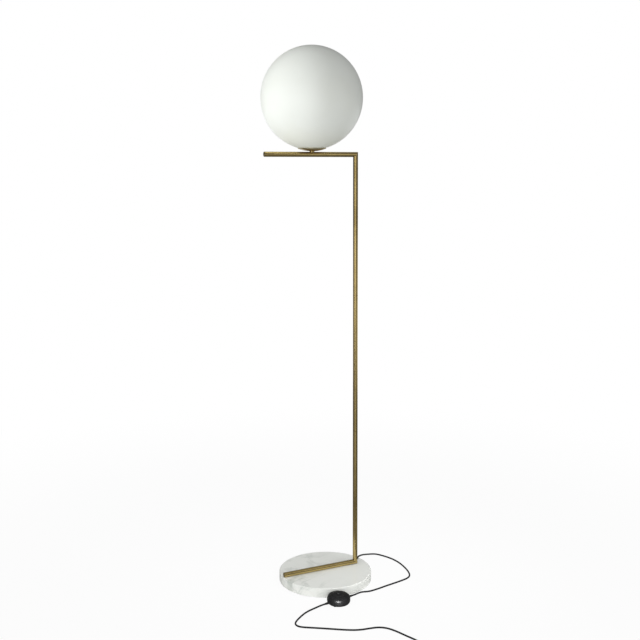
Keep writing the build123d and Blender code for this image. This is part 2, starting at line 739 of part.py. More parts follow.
# ---------------------------------------------------------------- bulb
def make_bulb():
    place = Pos(globe_x, 0, bulb_z)
    root = bulb_thread_radius - bulb_thread_depth
    outline = [(bulb_tip_radius, bulb_tip_height), (root, bulb_cone_top)]
    quarter = bulb_thread_pitch / 4
    for turn in range(bulb_thread_turns):
        low = bulb_cone_top + bulb_thread_pitch * turn + quarter
        outline += [(root, low), (bulb_thread_radius, low + quarter),
                    (bulb_thread_radius, low + quarter * 1.6), (root, low + quarter * 2.6)]
    outline += [(root, bulb_cap_top), (0, bulb_cap_top), (0, bulb_tip_height)]
    add("bulb_cap", place * turned_points(outline))

    tip = rod(bulb_tip_radius, 0, bulb_tip_height)
    add("bulb_contact", place * fillet(tip.edges().sort_by(Axis.Z)[0], bulb_tip_height / 2))

    flare = bulb_radius - bulb_wall
    plate_low = bulb_body_top - led_plate
    body = turned(
        Line((0, 0, bulb_cap_top), (bulb_neck_radius, 0, bulb_cap_top)),
        Bezier((bulb_neck_radius, 0, bulb_cap_top), (bulb_neck_radius, 0, bulb_cap_top + bulb_neck_pull),
               (flare, 0, bulb_body_top - bulb_top_pull), (flare, 0, bulb_body_top)),
        Line((flare, 0, bulb_body_top), (flare - bulb_wall, 0, bulb_body_top)),
        Line((flare - bulb_wall, 0, bulb_body_top), (flare - bulb_wall, 0, plate_low)),
        Line((flare - bulb_wall, 0, plate_low), (0, 0, plate_low)),
        Line((0, 0, plate_low), (0, 0, bulb_cap_top)),
    )
    add("bulb_body", place * body)
    add("bulb_led_plate", place * rod(flare - bulb_wall - braze_gap, plate_low, bulb_body_top))

    widest = bulb_height - bulb_radius
    dome_outer = [(flare, 0, bulb_body_top), (bulb_radius, 0, widest), (0, 0, bulb_height)]
    dome_inner = [(0, 0, bulb_height - bulb_wall), (bulb_radius - bulb_wall, 0, widest),
                  (flare - bulb_wall, 0, bulb_body_top)]
    side_pull = (widest - bulb_body_top) / 2

    def crown(radius):
        """Point halfway up the dome's quarter circle."""
        return (radius * math.sqrt(0.5), 0, widest + radius * math.sqrt(0.5))

    dome = turned(
        Bezier(dome_outer[0], (flare + bulb_wall / 2, 0, bulb_body_top + side_pull / 2),
               (bulb_radius, 0, widest - side_pull), dome_outer[1]),
        ThreePointArc(dome_outer[1], crown(bulb_radius), dome_outer[2]),
        Line(dome_outer[2], dome_inner[0]),
        ThreePointArc(dome_inner[0], crown(bulb_radius - bulb_wall), dome_inner[1]),
        Bezier(dome_inner[1], (bulb_radius - bulb_wall, 0, widest - side_pull),
               (flare - bulb_wall / 2, 0, bulb_body_top + side_pull / 2), dome_inner[2]),
        Line(dome_inner[2], dome_outer[0]),
    )
    add("bulb_dome", place * dome)


# ---------------------------------------------------------------- foot switch
def at_switch():
    return Pos(switch_x, switch_y, 0) * Rot(0, 0, switch_turn)


def switch_point(along, height):
    """Point on the lead's line through the switch."""
    turn = math.radians(switch_turn)
    return (switch_x + along * math.cos(turn), switch_y + along * math.sin(turn), height)


def sleeve_tip():
    """Distance of each sleeve's tip from the switch's axis."""
    return switch_radius + sleeve_nose


def outline(points, bulges):
    """Solid of revolution from (radius, height) corners: bulges gives the swell of the run after a corner."""
    edges = []
    for index, (start, end) in enumerate(zip(points, points[1:] + points[:1])):
        first, last = (start[0], 0, start[1]), (end[0], 0, end[1])
        swell = bulges.get(index)
        if swell is None:
            edges.append(Line(first, last))
            continue
        run, rise = end[0] - start[0], end[1] - start[1]
        length = math.hypot(run, rise)
        middle = ((start[0] + end[0]) / 2 + swell * rise / length, 0,
                  (start[1] + end[1]) / 2 - swell * run / length)
        edges.append(ThreePointArc(first, middle, last))
    return turned(*edges)


def at_housing_screws(solid):
    return on_places(housing_screw_places, switch_radius - housing_screw_inset, solid)


def lead_passages():
    """Passage for the sleeves through both ends of the switch."""
    return rod_x(sleeve_radius, -sleeve_tip(), sleeve_tip(), switch_split_z)


def make_switch_base():
    foot = switch_radius - switch_foot_inset
    inner = switch_radius - switch_wall
    floor_top = switch_floor_z + switch_wall
    base = outline([
        (0, switch_floor_z), (foot, switch_floor_z), (switch_radius, switch_side_z),
        (switch_radius, switch_split_z), (inner, switch_split_z), (inner, switch_side_z),
        (foot - switch_wall, floor_top), (0, floor_top),
    ], {1: 0.9, 5: -0.6})
    boss = rod(housing_screw_radius + housing_boss_wall, switch_floor_z, switch_split_z)
    for one in at_housing_screws(boss):
        base += one
    seat_z = switch_floor_z + housing_head_sink + housing_head_height
    hole = rod(housing_screw_radius + housing_screw_gap, 0, switch_split_z + 1)
    hole += rod(housing_head_radius + housing_screw_gap, 0, seat_z)
    for one in at_housing_screws(hole):
        base -= one
    post_top = switch_split_z + lead_radius
    clamp_place = switch_radius - clamp_inset
    for x in (-clamp_place, clamp_place):
        for y in (-clamp_screw_offset, clamp_screw_offset):
            base += rod(clamp_post_radius, switch_floor_z, post_top, x, y)
            base -= rod(clamp_screw_radius + thread_fit, floor_top, post_top + 1, x, y)
    pocket = rod(foot_radius + foot_fit, 0, foot_thickness)
    for one in on_places(foot_places, switch_radius - foot_inset, pocket):
        base -= one
    add("switch_base", at_switch() * (base - lead_passages()))
    feet = on_places(foot_places, switch_radius - foot_inset, rod(foot_radius, 0, foot_thickness))
    add("switch_feet", group([at_switch() * one for one in feet]))


def make_switch_cover():
    inner = switch_radius - switch_wall
    land_low = switch_land_z - switch_wall
    step_z = switch_ring_z - switch_ring_step
    flange_room = button_radius + button_flange + button_gap
    filled = outline([
        (0, switch_split_z), (switch_radius, switch_split_z), (switch_radius, switch_shoulder_z),
        (switch_ring_radius + switch_ring_step, switch_ring_z - switch_ring_step / 2),
        (switch_ring_radius, step_z), (switch_ring_radius - switch_ring_step, switch_ring_z),
        (button_radius + button_gap, switch_land_z), (0, switch_land_z),
    ], {2: switch_dome_swell, 5: 0.5})
    hollow = outline([
        (0, switch_split_z), (inner, switch_split_z), (inner, switch_shoulder_z),
        (switch_ring_radius - switch_ring_step / 2, step_z - switch_wall),
        (flange_room, land_low), (0, land_low),
    ], {2: switch_dome_swell})
    for boss in at_housing_screws(rod(housing_screw_radius + housing_boss_wall, 0, switch_height)):
        hollow -= boss
    cover = filled - hollow - rod(button_radius + button_gap, 0, switch_height)
    screw_top = switch_split_z + housing_screw_depth
    for one in at_housing_screws(rod(housing_screw_radius + thread_fit, switch_split_z - 1, screw_top + 1)):
        cover -= one
    add("switch_cover", at_switch() * (cover - lead_passages()))

    head_z = switch_floor_z + housing_head_sink
    screw = rod(housing_head_radius, head_z, head_z + housing_head_height)
    screw += rod(housing_screw_radius, head_z, screw_top)
    cross = Box(cross_width, 2 * housing_screw_radius, cross_depth, align=BOTTOM)
    cross += Box(2 * housing_screw_radius, cross_width, cross_depth, align=BOTTOM)
    screws = at_housing_screws(screw - Pos(0, 0, head_z) * cross)
    add("switch_screws", group([at_switch() * one for one in screws]))


def make_switch_action():
    place = at_switch()
    flange_top = switch_land_z - switch_wall - button_gap
    flange_low = flange_top - button_flange_height
    crown_low = switch_height - button_crown
    stalk_low = crown_low - button_stalk
    button = rod(button_radius, flange_low, switch_height)
    button = fillet(button.edges().sort_by(Axis.Z)[-1], button_crown * 0.7)
    button += rod(button_radius + button_flange, flange_low, flange_top)
    button -= rod(button_radius - button_wall, flange_low - 1, crown_low)
    button += rod(plunger_radius, stalk_low, switch_height - button_crown / 2)
    add("switch_button", place * button)

    floor_top = switch_floor_z + switch_wall
    well_z = block_top_z - block_well
    block = Pos(0, 0, floor_top) * Box(block_side, block_side, block_top_z - floor_top, align=BOTTOM)
    block -= rod(plunger_radius + button_gap, well_z, block_top_z + 1)
    add("switch_block", place * block)
    add("switch_plunger", place * rod(plunger_radius, well_z + button_travel + button_gap, stalk_low))

    spring_low = block_top_z + spring_wire / 2 + spring_gap
    spring_high = crown_low - spring_wire / 2 - spring_gap

    def coil_place(turn):
        angle = 2 * math.pi * turn
        height = spring_low + (spring_high - spring_low) * turn / spring_turns
        return Vector(spring_radius * math.cos(angle), spring_radius * math.sin(angle), height)

    path = wound_path(coil_place, spring_turns, 4, spring_wire)
    spring = swept(path, spring_wire / 2)
    tell("switch_spring", spring, path, spring_wire / 2)
    print(f"switch_spring: least gap between turns {least_gap(path, spring_wire / 2, spring_turns):.2f} mm")
    add("switch_spring", place * spring)


def make_sleeve():
    """Rubber sleeve along Z, measured from the switch's axis."""
    flange_z = switch_radius - sleeve_inset
    sleeve = rod(sleeve_flange_radius, flange_z - sleeve_flange, flange_z)
    sleeve += rod(sleeve_radius - thread_fit, flange_z, switch_radius)
    nose = Cone(sleeve_radius - thread_fit, sleeve_tip_radius, sleeve_nose, align=BOTTOM)
    sleeve += Pos(0, 0, switch_radius) * nose
    return sleeve - rod(lead_radius + lead_fit, 0, sleeve_tip() + 1)


def make_switch_fittings():
    place = at_switch()
    sleeves, clamps, clamp_screws, terminals = [], [], [], []
    clamp_place = switch_radius - clamp_inset
    bar_z = switch_split_z + lead_radius + clamp_squeeze
    head_z = bar_z + clamp_thickness
    floor_top = switch_floor_z + switch_wall
    terminal_x = (block_side + terminal_size[0]) / 2 + terminal_gap
    terminal_top = floor_top + terminal_size[2]
    for side in (0, 180):
        turn = Rot(0, 0, side)
        sleeves.append(place * turn * Pos(0, 0, switch_split_z) * Rot(0, 90, 0) * make_sleeve())
        bar_length = 2 * clamp_screw_offset + clamp_width
        bar = Pos(clamp_place, 0, bar_z) * Box(clamp_width, bar_length, clamp_thickness, align=BOTTOM)
        for y in (-clamp_screw_offset, clamp_screw_offset):
            bar -= rod(clamp_screw_radius + thread_fit, bar_z - 1, head_z + 1, clamp_place, y)
            screw = rod(clamp_screw_radius, head_z - clamp_screw_depth, head_z, clamp_place, y)
            screw += rod(clamp_head_radius, head_z, head_z + clamp_head_height, clamp_place, y)
            clamp_screws.append(place * turn * screw)
        clamps.append(place * turn * bar)
        for y in (-terminal_spread, terminal_spread):
            block = Pos(terminal_x, y, floor_top) * Box(*terminal_size, align=BOTTOM)
            block -= rod(terminal_hole_radius, terminal_top - terminal_hole_depth, terminal_top + 1,
                         terminal_x, y)
            terminals.append(place * turn * block)
    add("switch_sleeves", group(sleeves))
    add("switch_lead_clamps", group(clamps))
    add("switch_clamp_screws", group(clamp_screws))
    add("switch_terminals", group(terminals))


# ---------------------------------------------------------------- lead
def make_lead_inside():
    """The lead's run through the stem, the arm and the pole, to the tip of the exit bush."""
    bearing = math.radians(exit_bearing)
    far = bush_end()
    corner_bend = (bore_radius * math.sqrt(2) - lead_radius - lead_room) / (math.sqrt(2) - 1)
    points = [
        (globe_x, 0, holder_z + stem_in_holder + sheath_past_stem), (globe_x, 0, arm_axis_z),
        (pole_x, 0, arm_axis_z),
        (pole_x, 0, exit_z), (pole_x + far * math.cos(bearing), far * math.sin(bearing), exit_z),
    ]
    path = FilletPolyline(*points, radius=[stem_bend, corner_bend, exit_bend])
    solid = swept(path, lead_radius)
    tell("lead_inside", solid, path, lead_radius)
    add("lead_inside", solid)

    cores = []
    sheath_z = points[0][2]
    for side in (-1, 1):
        near, wide = side * core_offset, side * terminal_offset
        rise = (insert_z - sheath_z) / 4
        way = FilletPolyline(
            (near, 0, sheath_z), (near, 0, sheath_z + rise), (wide, 0, insert_z - rise), (wide, 0, insert_z),
            radius=rise * 0.8)
        cores.append(Pos(globe_x, 0, 0) * swept(way, core_radius))
    add("lampholder_cores", group(cores))
    return points[-1], path.length


def route_to_switch(exit_point):
    """Corners of the lead's route from the pole's foot to the switch."""
    bearing = math.radians(exit_bearing)
    out = lead_straight
    straight = (exit_point[0] + out * math.cos(bearing), exit_point[1] + out * math.sin(bearing), exit_z)
    tip = sleeve_tip()
    into_switch = [switch_point(tip + out, switch_split_z), switch_point(tip, switch_split_z)]
    return [exit_point, straight] + lamp_route + into_switch


def route_to_coil(start, way):
    """Corners of the lead's route from the switch to the coil's first point."""
    tip = sleeve_tip()
    from_switch = [switch_point(-tip, switch_split_z), switch_point(-tip - lead_straight, switch_split_z)]
    return from_switch + plug_route + [tuple(start - way * coil_run_in), tuple(start)]


def coil_path():
    """The tied coil: clockwise from its +X side, in on the lower layer and out on the upper one."""
    x, y = coil_centre
    half = coil_turns / 2

    def place(turn):
        angle = -2 * math.pi * turn
        radius = coil_radius - coil_step * (half - abs(half - turn))
        climb = min(1.0, max(0.0, 0.5 + (turn - half) / 0.5))
        return Vector(x + radius * math.cos(angle), y + radius * math.sin(angle), coil_z + coil_step * climb)

    return wound_path(place, coil_turns, 4, lead_diameter)


def make_lead():
    exit_point, inside_length = make_lead_inside()
    first, first_length = lead_along("lead_to_switch", route_to_switch(exit_point))
    add("lead_to_switch", first)

    tip = sleeve_tip()
    sheath_end = switch_radius - clamp_inset - sheath_past_clamp
    ends = []
    for side in (-1, 1):
        run = Line(switch_point(side * tip, switch_split_z), switch_point(side * sheath_end, switch_split_z))
        ends.append(swept(run, lead_radius))
    add("lead_in_switch", group(ends))

    path = coil_path()
    second, second_length = lead_along("lead_to_coil", route_to_coil(path @ 0, path % 0))
    add("lead_to_coil", second)
    coil = swept(path, lead_radius)
    tell("lead_coil", coil, path, lead_radius)
    print(f"lead_coil: least gap to itself {least_gap(path, lead_radius, coil_turns):.2f} mm")
    add("lead_coil", coil)

    tail, way = path @ 1, path % 1
    relief_end = (tail.X - plug_run, tail.Y - plug_shift, plug_z)
    before_plug = (relief_end[0] + lead_straight, relief_end[1], plug_z)
    to_plug = [tuple(tail), tuple(tail + way * lead_straight), before_plug, relief_end]
    third, third_length = lead_along("lead_to_plug", to_plug)
    add("lead_to_plug", third)
    make_plug(relief_end)

    shown = [first_length, 2 * tip, second_length, path.length, third_length]
    print(f"lead outside the lamp: {sum(shown):.0f} mm, inside the frame {inside_length:.0f} mm")


def make_tie():
    """Band round the coil's turns, at the coil's -X side."""
    x, y = coil_centre
    inner_turn = coil_radius - coil_step * coil_turns / 2 - lead_radius
    near = math.sqrt(inner_turn**2 - (tie_width / 2)**2) - tie_gap
    far = coil_radius + lead_radius + tie_gap
    top = coil_top_z + lead_radius + tie_gap
    height = top + tie_sheet
    band = Box(far - near + 2 * tie_sheet, tie_width, height, align=BOTTOM)
    band = fillet(band.edges().filter_by(Axis.Y), tie_sheet * 2)
    hole = Pos(0, 0, tie_sheet) * Box(far - near, tie_width + 2, top - tie_sheet, align=BOTTOM)
    hole = fillet(hole.edges().filter_by(Axis.Y), tie_sheet)
    add("coil_tie", Pos(x - (near + far) / 2, y, 0) * (band - hole))


def make_plug(relief_end):
    """Flat two-pin plug that lies on the floor, its pins towards -X."""
    place = Pos(*relief_end) * Rot(0, 0, 180) * Rot(0, 90, 0)
    relief = Cone(plug_relief_tip, plug_relief_radius, plug_relief, align=BOTTOM)
    slot_step = plug_relief / (plug_relief_rings + 1)
    for slot in range(1, plug_relief_rings + 1):
        height = slot_step * slot - plug_slot_width / 2
        relief -= ring(plug_relief_radius + 1, plug_slot_radius, height, height + plug_slot_width)
    back = RectangleRounded(plug_back_thickness, plug_back_width, plug_back_corner)
    face = RectangleRounded(plug_thickness, plug_width, plug_corner)
    face_at = plug_relief + plug_length
    body = relief + loft([Plane.XY.offset(plug_relief) * back, Plane.XY.offset(face_at) * face])
    pin_root = face_at - pin_in_plug
    for lateral in (-1, 1):
        body -= rod(pin_radius + thread_fit, pin_root, face_at + 1, 0, lateral * pin_spacing / 2)
    add("plug_body", place * body)
    pins = []
    for lateral in (-1, 1):
        pin = rod(pin_radius, pin_root, face_at + pin_length, 0, lateral * pin_spacing / 2)
        pins.append(place * fillet(pin.edges().sort_by(Axis.Z)[-1], pin_tip_round))
    add("plug_pins", group(pins))


# ---------------------------------------------------------------- build and write
def main():
    make_base()
    make_frame()
    make_exit_bush()
    make_stem()
    make_globe_holding()
    make_globe()
    make_lampholder()
    make_bulb()
    make_switch_base()
    make_switch_cover()
    make_switch_action()
    make_switch_fittings()
    make_lead()
    make_tie()
    os.makedirs("parts", exist_ok=True)
    for node, solid in parts.items():
        export_step(solid, f"parts/{node}.step")


main()
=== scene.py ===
import math

import bpy
from bpy.props import FloatProperty, FloatVectorProperty, IntProperty, PointerProperty
from mathutils import Matrix, Vector


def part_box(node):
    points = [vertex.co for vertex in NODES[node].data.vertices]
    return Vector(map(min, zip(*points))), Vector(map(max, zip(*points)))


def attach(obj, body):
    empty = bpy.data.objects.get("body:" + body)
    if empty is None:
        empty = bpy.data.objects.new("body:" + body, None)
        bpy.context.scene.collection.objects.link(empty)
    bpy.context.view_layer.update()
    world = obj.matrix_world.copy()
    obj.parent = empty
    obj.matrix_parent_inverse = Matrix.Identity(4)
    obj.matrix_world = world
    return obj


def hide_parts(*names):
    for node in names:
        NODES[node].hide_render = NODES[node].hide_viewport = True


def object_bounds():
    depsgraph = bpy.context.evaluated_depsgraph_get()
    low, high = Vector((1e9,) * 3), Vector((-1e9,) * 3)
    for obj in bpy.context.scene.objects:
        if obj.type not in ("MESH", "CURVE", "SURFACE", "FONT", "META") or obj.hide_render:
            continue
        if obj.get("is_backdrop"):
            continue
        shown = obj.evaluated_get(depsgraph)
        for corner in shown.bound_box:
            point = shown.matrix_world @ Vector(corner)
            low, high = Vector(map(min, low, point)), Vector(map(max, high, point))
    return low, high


bl_info = {
    "name": "Globe floor lamp",
    "version": (1, 0, 0),
    "blender": (4, 5, 0),
    "location": "3D View > Sidebar > Lamp",
    "description": "Finishes, cords, opal globe and studio for a floor lamp on a marble base",
    "category": "Object",
}

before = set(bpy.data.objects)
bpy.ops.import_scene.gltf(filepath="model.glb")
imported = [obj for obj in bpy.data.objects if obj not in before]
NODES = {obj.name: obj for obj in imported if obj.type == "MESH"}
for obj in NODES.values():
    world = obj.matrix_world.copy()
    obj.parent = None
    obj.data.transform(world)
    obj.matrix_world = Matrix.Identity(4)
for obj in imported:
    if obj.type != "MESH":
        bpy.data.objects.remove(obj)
CAD_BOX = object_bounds()

# ---------------------------------------------------------------- places on the lamp, in metres
GLOBE_AXIS_X = -0.038
POLE_JOINTS_Z = (0.470, 0.900)
SWITCH_PLACE = (-0.04028, -0.17800)
SWITCH_TURN = math.radians(10)
SWITCH_SPLIT_Z = 0.010
SLEEVE_TIP = 0.0485
LEAD_STRAIGHT = 0.010
BUSH_TIP = (0.12524, 0.01874, 0.040)
BUSH_BEARING = math.radians(45)

# The lead's route from the lamp to the foot switch.
LAMP_ROUTE = [
    (0.1425, 0.0335, 0.0378), (0.1555, 0.045, 0.0335), (0.169, 0.059, 0.0265),
    (0.1825, 0.0745, 0.019), (0.194, 0.0875, 0.0125), (0.2045, 0.099, 0.0065),
    (0.221, 0.104, 0.0028), (0.237, 0.0968, 0.0025), (0.250, 0.074, 0.0025),
    (0.262, 0.047, 0.0025), (0.269, 0.016, 0.0025), (0.2695, -0.018, 0.0025),
    (0.266, -0.050, 0.0025), (0.260, -0.078, 0.0025), (0.251, -0.102, 0.0025),
    (0.235, -0.1175, 0.0025), (0.210, -0.125, 0.0025), (0.181, -0.1315, 0.0025),
    (0.145, -0.1385, 0.0025), (0.110, -0.147, 0.0025), (0.077, -0.1522, 0.0025),
    (0.056, -0.1462, 0.003), (0.042, -0.151, 0.0047), (0.0295, -0.160, 0.0076),
]
# The lead's route from the foot switch to the coil.
PLUG_ROUTE = [
    (-0.1105, -0.1872, 0.0072), (-0.126, -0.1876, 0.0039), (-0.1435, -0.1915, 0.0026),
    (-0.163, -0.2015, 0.0025), (-0.184, -0.2175, 0.0025), (-0.206, -0.2375, 0.0025),
    (-0.2148, -0.251, 0.0025), (-0.2143, -0.266, 0.0025), (-0.2035, -0.2785, 0.0025),
    (-0.184, -0.2905, 0.0025), (-0.150, -0.3125, 0.0025), (-0.097, -0.3485, 0.0025),
    (-0.066, -0.363, 0.0025), (-0.036, -0.3665, 0.0025), (-0.008, -0.3715, 0.0025),
    (0.012, -0.389, 0.0025), (0.025, -0.418, 0.0025), (0.0355, -0.451, 0.0025),
    (0.0465, -0.481, 0.0025), (0.0505, -0.508, 0.0028),
]
COIL_CENTRE = (0.017, -0.545)
COIL_TURNS = 5.25
COIL_RADIUS = 0.0345
COIL_STEP = 0.0056
COIL_Z = 0.0038
COIL_RUN_IN = 0.014
COIL_POINTS_PER_TURN = 20
PLUG_Z = 0.007

# The camera stands and looks as the photographer's did.
CAMERA_PLACE = (-1.2464, -2.6245, 1.2771)
CAMERA_YAW = 0.4389
CAMERA_PITCH = 0.1526
CAMERA_ROLL = -0.0044
CAMERA_LENS = 54.26

# Where finishes change and where painted shade and highlights lie, in metres, and how their marks run.
BRUSH_STRETCH = 0.012         # width of a brush mark over its length
JOINT_LINE = (0.0016, 0.0002)
CORNER_SHADE_Z = (1.0, 1.2)         # painted shade: darker brass towards the arm's corner
CORNER_SHADE_X = (0.0, 0.10)
# Painted highlight: a pale band along the cup's rim.
CUP_RIM_HIGHLIGHT_Z = (1.3395, 1.3425)
GLOBE_CUP_SHADE_Z = (1.42, 1.345)   # painted warm shade on the glass towards the cup
GREYER_SIDE_X = (0.05, -0.07)      # the side towards which the marble turns greyer and more veined
GREYER_SIDE_SLANT = 0.35           # metres along X for each metre along Y
WEAVE = 4400.0                # radians of weave per metre

# The globe and the plug's ribs.
LIP_START = 0.485             # share of the sheet from the top to the lip, on either side
GLOBE_ROWS = 201
SAME_PLACE = 1e-6             # points closer than this are joined
RIB_STEPS = 25
RIB_FACETS = 12
RIB_END_ROUNDING = 6.0        # a power: the higher, the blunter the ends
RIB_LENGTH = 0.016
RIB_RADIUS = 0.0008
FIRST_RIB_IN = 0.012          # from the plug's face
FIRST_RIB_DOWN = 0.0008       # from its top
LAST_RIB_IN = 0.028
LAST_RIB_DOWN = 0.0015

# The light and the floor.
AMBIENT = 0.495
AMBIENT_LEAN = 0.05           # how much more of it comes from the left than from the right
AMBIENT_FADE = 0.20           # how much less of it comes from above
STUDIO_DIM = 0.10
STUDIO_BACK = 0.75
STUDIO_RIGHT = 0.40
STUDIO_TOP = 0.25
FLOOR_SIZE = 5.2
FLOOR_FADE = (0.7, 2.4)       # the distances between which the floor turns white
FLOOR_WHITE = 0.94
FLOOR_IN_METAL = (0.28, 0.28, 0.27)
FLOOR_POOL = 0.75             # how white the floor in front of the lamp is in the metal
# name, place, what it points at, width, height, watts, spread in degrees, shown in metal
LIGHTS = [
    ("left_softbox", (-2.95, 0.25, 1.55), (0, 0, 1.5), 2.2, 2.2, 9.3, 45, False),
    ("front_softbox", (-1.95, -2.25, 0.95), (0, 0, 0.9), 2.4, 1.5, 18.0, 180, True),
    ("low_front_softbox", (-0.5, -2.8, 0.8), (0, 0, 0.05), 1.2, 0.5, 1.5, 60, False),
    ("right_softbox", (1.3, -2.2, 0.9), (0, 0, 0.05), 1.0, 0.8, 0.6, 60, False),
    ("right_card", (1.5, -2.2, 1.7), (0, 0, 0.4), 1.2, 1.2, 3.6, 180, True),
    ("base_softbox", (0.5, -0.5, 1.2), (0, 0, 0), 0.9, 0.9, 1.1, 60, False),
]
# Lights the foot switch alone.
SWITCH_CARD = ("switch_card", (-0.394, -0.896, 0.10), (-0.04, -0.178, 0.02), 0.50, 0.15, 15.0,
               180, True)


# ---------------------------------------------------------------- node trees
class Wire:
    """An output socket. Arithmetic on it adds Math nodes to its tree."""

    def __init__(self, nodes, socket):
        self.nodes = nodes
        self.socket = socket

    def math(self, operation, *values):
        inputs = dict(enumerate(values))
        return self.nodes.add("ShaderNodeMath", {"operation": operation}, inputs)

    def __add__(self, other):
        return self.math("ADD", self, other)

    def __sub__(self, other):
        return self.math("SUBTRACT", self, other)

    def __rsub__(self, other):
        return self.math("SUBTRACT", other, self)

    def __mul__(self, other):
        return self.math("MULTIPLY", self, other)

    def __truediv__(self, other):
        return self.math("DIVIDE", self, other)

    def __pow__(self, other):
        return self.math("POWER", self, other)

    __radd__ = __add__
    __rmul__ = __mul__

    def size(self):
        return self.math("ABSOLUTE", self)

    def sine(self):
        return self.math("SINE", self)

    def cosine(self):
        return self.math("COSINE", self)

    def arcsine(self):
        return self.math("ARCSINE", self)

    def at_least(self, other):
        return self.math("MAXIMUM", self, other)

    def at_most(self, other):
        return self.math("MINIMUM", self, other)

    def step(self, low, high):
        """0 below low and 1 above high, smooth between them."""
        settings = {"interpolation_type": "SMOOTHSTEP"}
        inputs = {"Value": self, "From Min": low, "From Max": high}
        return self.nodes.add("ShaderNodeMapRange", settings, inputs)


class Nodes:
    """Adds nodes to one tree and wires them."""

    def __init__(self, tree):
        self.tree = tree

    def add(self, kind, settings=None, inputs=None, output=0):
        node = self.tree.nodes.new(kind)
        for key, value in (settings or {}).items():
            setattr(node, key, value)
        for key, value in (inputs or {}).items():
            if isinstance(value, Wire):
                self.tree.links.new(value.socket, node.inputs[key])
            else:
                node.inputs[key].default_value = value
        return Wire(self, node.outputs[output]) if len(node.outputs) else None

    # ---- used in materials
    def place(self):
        return self.add("ShaderNodeTexCoord", output="Object")

    def parts_of(self, vector):
        split = self.add("ShaderNodeSeparateXYZ", inputs={0: vector})
        node = split.socket.node
        return [Wire(self, socket) for socket in node.outputs]

    def moved(self, vector, shift=(0, 0, 0), turn=(0, 0, 0), scale=(1, 1, 1)):
        inputs = {"Vector": vector, "Location": shift, "Rotation": turn, "Scale": scale}
        return self.add("ShaderNodeMapping", inputs=inputs)

    def noise(self, vector, scale, detail=2.0, roughness=0.5, distortion=0.0):
        inputs = {"Vector": vector, "Scale": scale, "Detail": detail,
                  "Roughness": roughness, "Distortion": distortion}
        return self.add("ShaderNodeTexNoise", inputs=inputs)

    def cells(self, vector, scale):
        """Distance to the nearest of many scattered points."""
        return self.add("ShaderNodeTexVoronoi", inputs={"Vector": vector, "Scale": scale})

    def blend(self, amount, first, second):
        """Colour between two colours."""
        inputs = {0: amount, 6: rgba(first), 7: rgba(second)}
        return self.add("ShaderNodeMix", {"data_type": "RGBA"}, inputs, output=2)

    def bump(self, height, distance, strength):
        inputs = {"Height": height, "Distance": distance, "Strength": strength}
        return self.add("ShaderNodeBump", inputs=inputs)


def from_camera(x, y):
    """How far a place or direction is to the camera's right, and how far away from it."""
    beside = x * math.cos(CAMERA_YAW) - y * math.sin(CAMERA_YAW)
    behind = x * math.sin(CAMERA_YAW) + y * math.cos(CAMERA_YAW)
    return beside, behind


def rgba(colour):
    return colour if isinstance(colour, Wire) else (*colour, 1.0)


def finish_of(name, build, **constants):
    """A material: build(nodes) gives the inputs that vary, and constants the rest."""
    material = bpy.data.materials.new(name)
    material.use_nodes = True
    material.node_tree.nodes.clear()
    nodes = Nodes(material.node_tree)
    inputs = {key.replace("_", " "): value for key, value in constants.items()}
    inputs.update(build(nodes))
    shader = nodes.add("ShaderNodeBsdfPrincipled", inputs=inputs)
    nodes.add("ShaderNodeOutputMaterial", inputs={"Surface": shader})
    return material


def dress(material, *names):
    for name in names:
        for slot in NODES[name].material_slots:
            slot.material = material


# ---------------------------------------------------------------- finishes
def brushed_brass(name, along, colours):
    """Satin brass, brushed along one axis, with the tarnish that hands leave and painted shade towards
    the arm's corner.
    """
    fine = [1.0, 1.0, 1.0]
    fine["xyz".index(along)] = BRUSH_STRETCH
    light, dark = colours.brass, colours.brass_dark

    def build(nodes):
        place = nodes.place()
        hairs = nodes.noise(nodes.moved(place, scale=fine), 2600.0, 3.0, 0.6)
        lanes = nodes.noise(nodes.moved(place, scale=fine), 420.0, 2.0, 0.5)
        tarnish = nodes.noise(place, 11.0, 2.0, 0.5, 0.4)
        spots = nodes.cells(place, 210.0).step(0.10, 0.02) * nodes.noise(place, 23.0).step(0.56, 0.70)
        worn = tarnish.step(0.40, 0.72) * 0.45 + lanes * 0.18 + spots * 0.12
        x, y, z = nodes.parts_of(place)
        for height in POLE_JOINTS_Z:
            worn = worn + (z - height).size().step(*JOINT_LINE) * 0.5
        # painted shade: darker brass towards the arm's corner, added to the tarnish
        worn = worn + z.step(*CORNER_SHADE_Z) * x.step(*CORNER_SHADE_X) * 0.35
        grain = nodes.bump(hairs * 0.7 + lanes * 0.3, 0.00004, 0.12)
        return {
            "Base Color": nodes.blend(worn, light, dark),
            "Roughness": 0.15 + hairs * 0.06 + tarnish * 0.08 + spots * 0.05,
            "Normal": grain,
        }

    return finish_of(name, build, Metallic=1.0)


def spun_brass(name, colours):
    """Brass turned on a lathe: fine rings round the globe's axis, and a painted highlight along the
    cup's rim.
    """

    def build(nodes):
        place = nodes.place()
        x, y, z = nodes.parts_of(place)
        across = x - GLOBE_AXIS_X
        radius = (across * across + y * y) ** 0.5
        ring_place = nodes.add("ShaderNodeCombineXYZ", inputs={0: radius, 1: z * 0.4})
        rings = nodes.noise(ring_place, 3000.0, 3.0, 0.6)
        lanes = nodes.noise(ring_place, 500.0, 2.0, 0.5)
        tarnish = nodes.noise(place, 26.0, 4.0, 0.6, 0.5)
        worn = tarnish.step(0.42, 0.70) * 0.5 + lanes * 0.2
        # painted highlight: a pale cream band along the cup's rim
        rim_highlight = z.step(*CUP_RIM_HIGHLIGHT_Z) * 0.75
        skin = nodes.blend(worn, colours.brass, colours.brass_dark)
        return {
            "Base Color": nodes.blend(rim_highlight, skin, (0.88, 0.84, 0.62)),
            "Roughness": 0.22 + rings * 0.12 + tarnish * 0.08,
            "Normal": nodes.bump(rings * 0.7 + lanes * 0.3, 0.00006, 0.4),
        }

    return finish_of(name, build, Metallic=1.0)


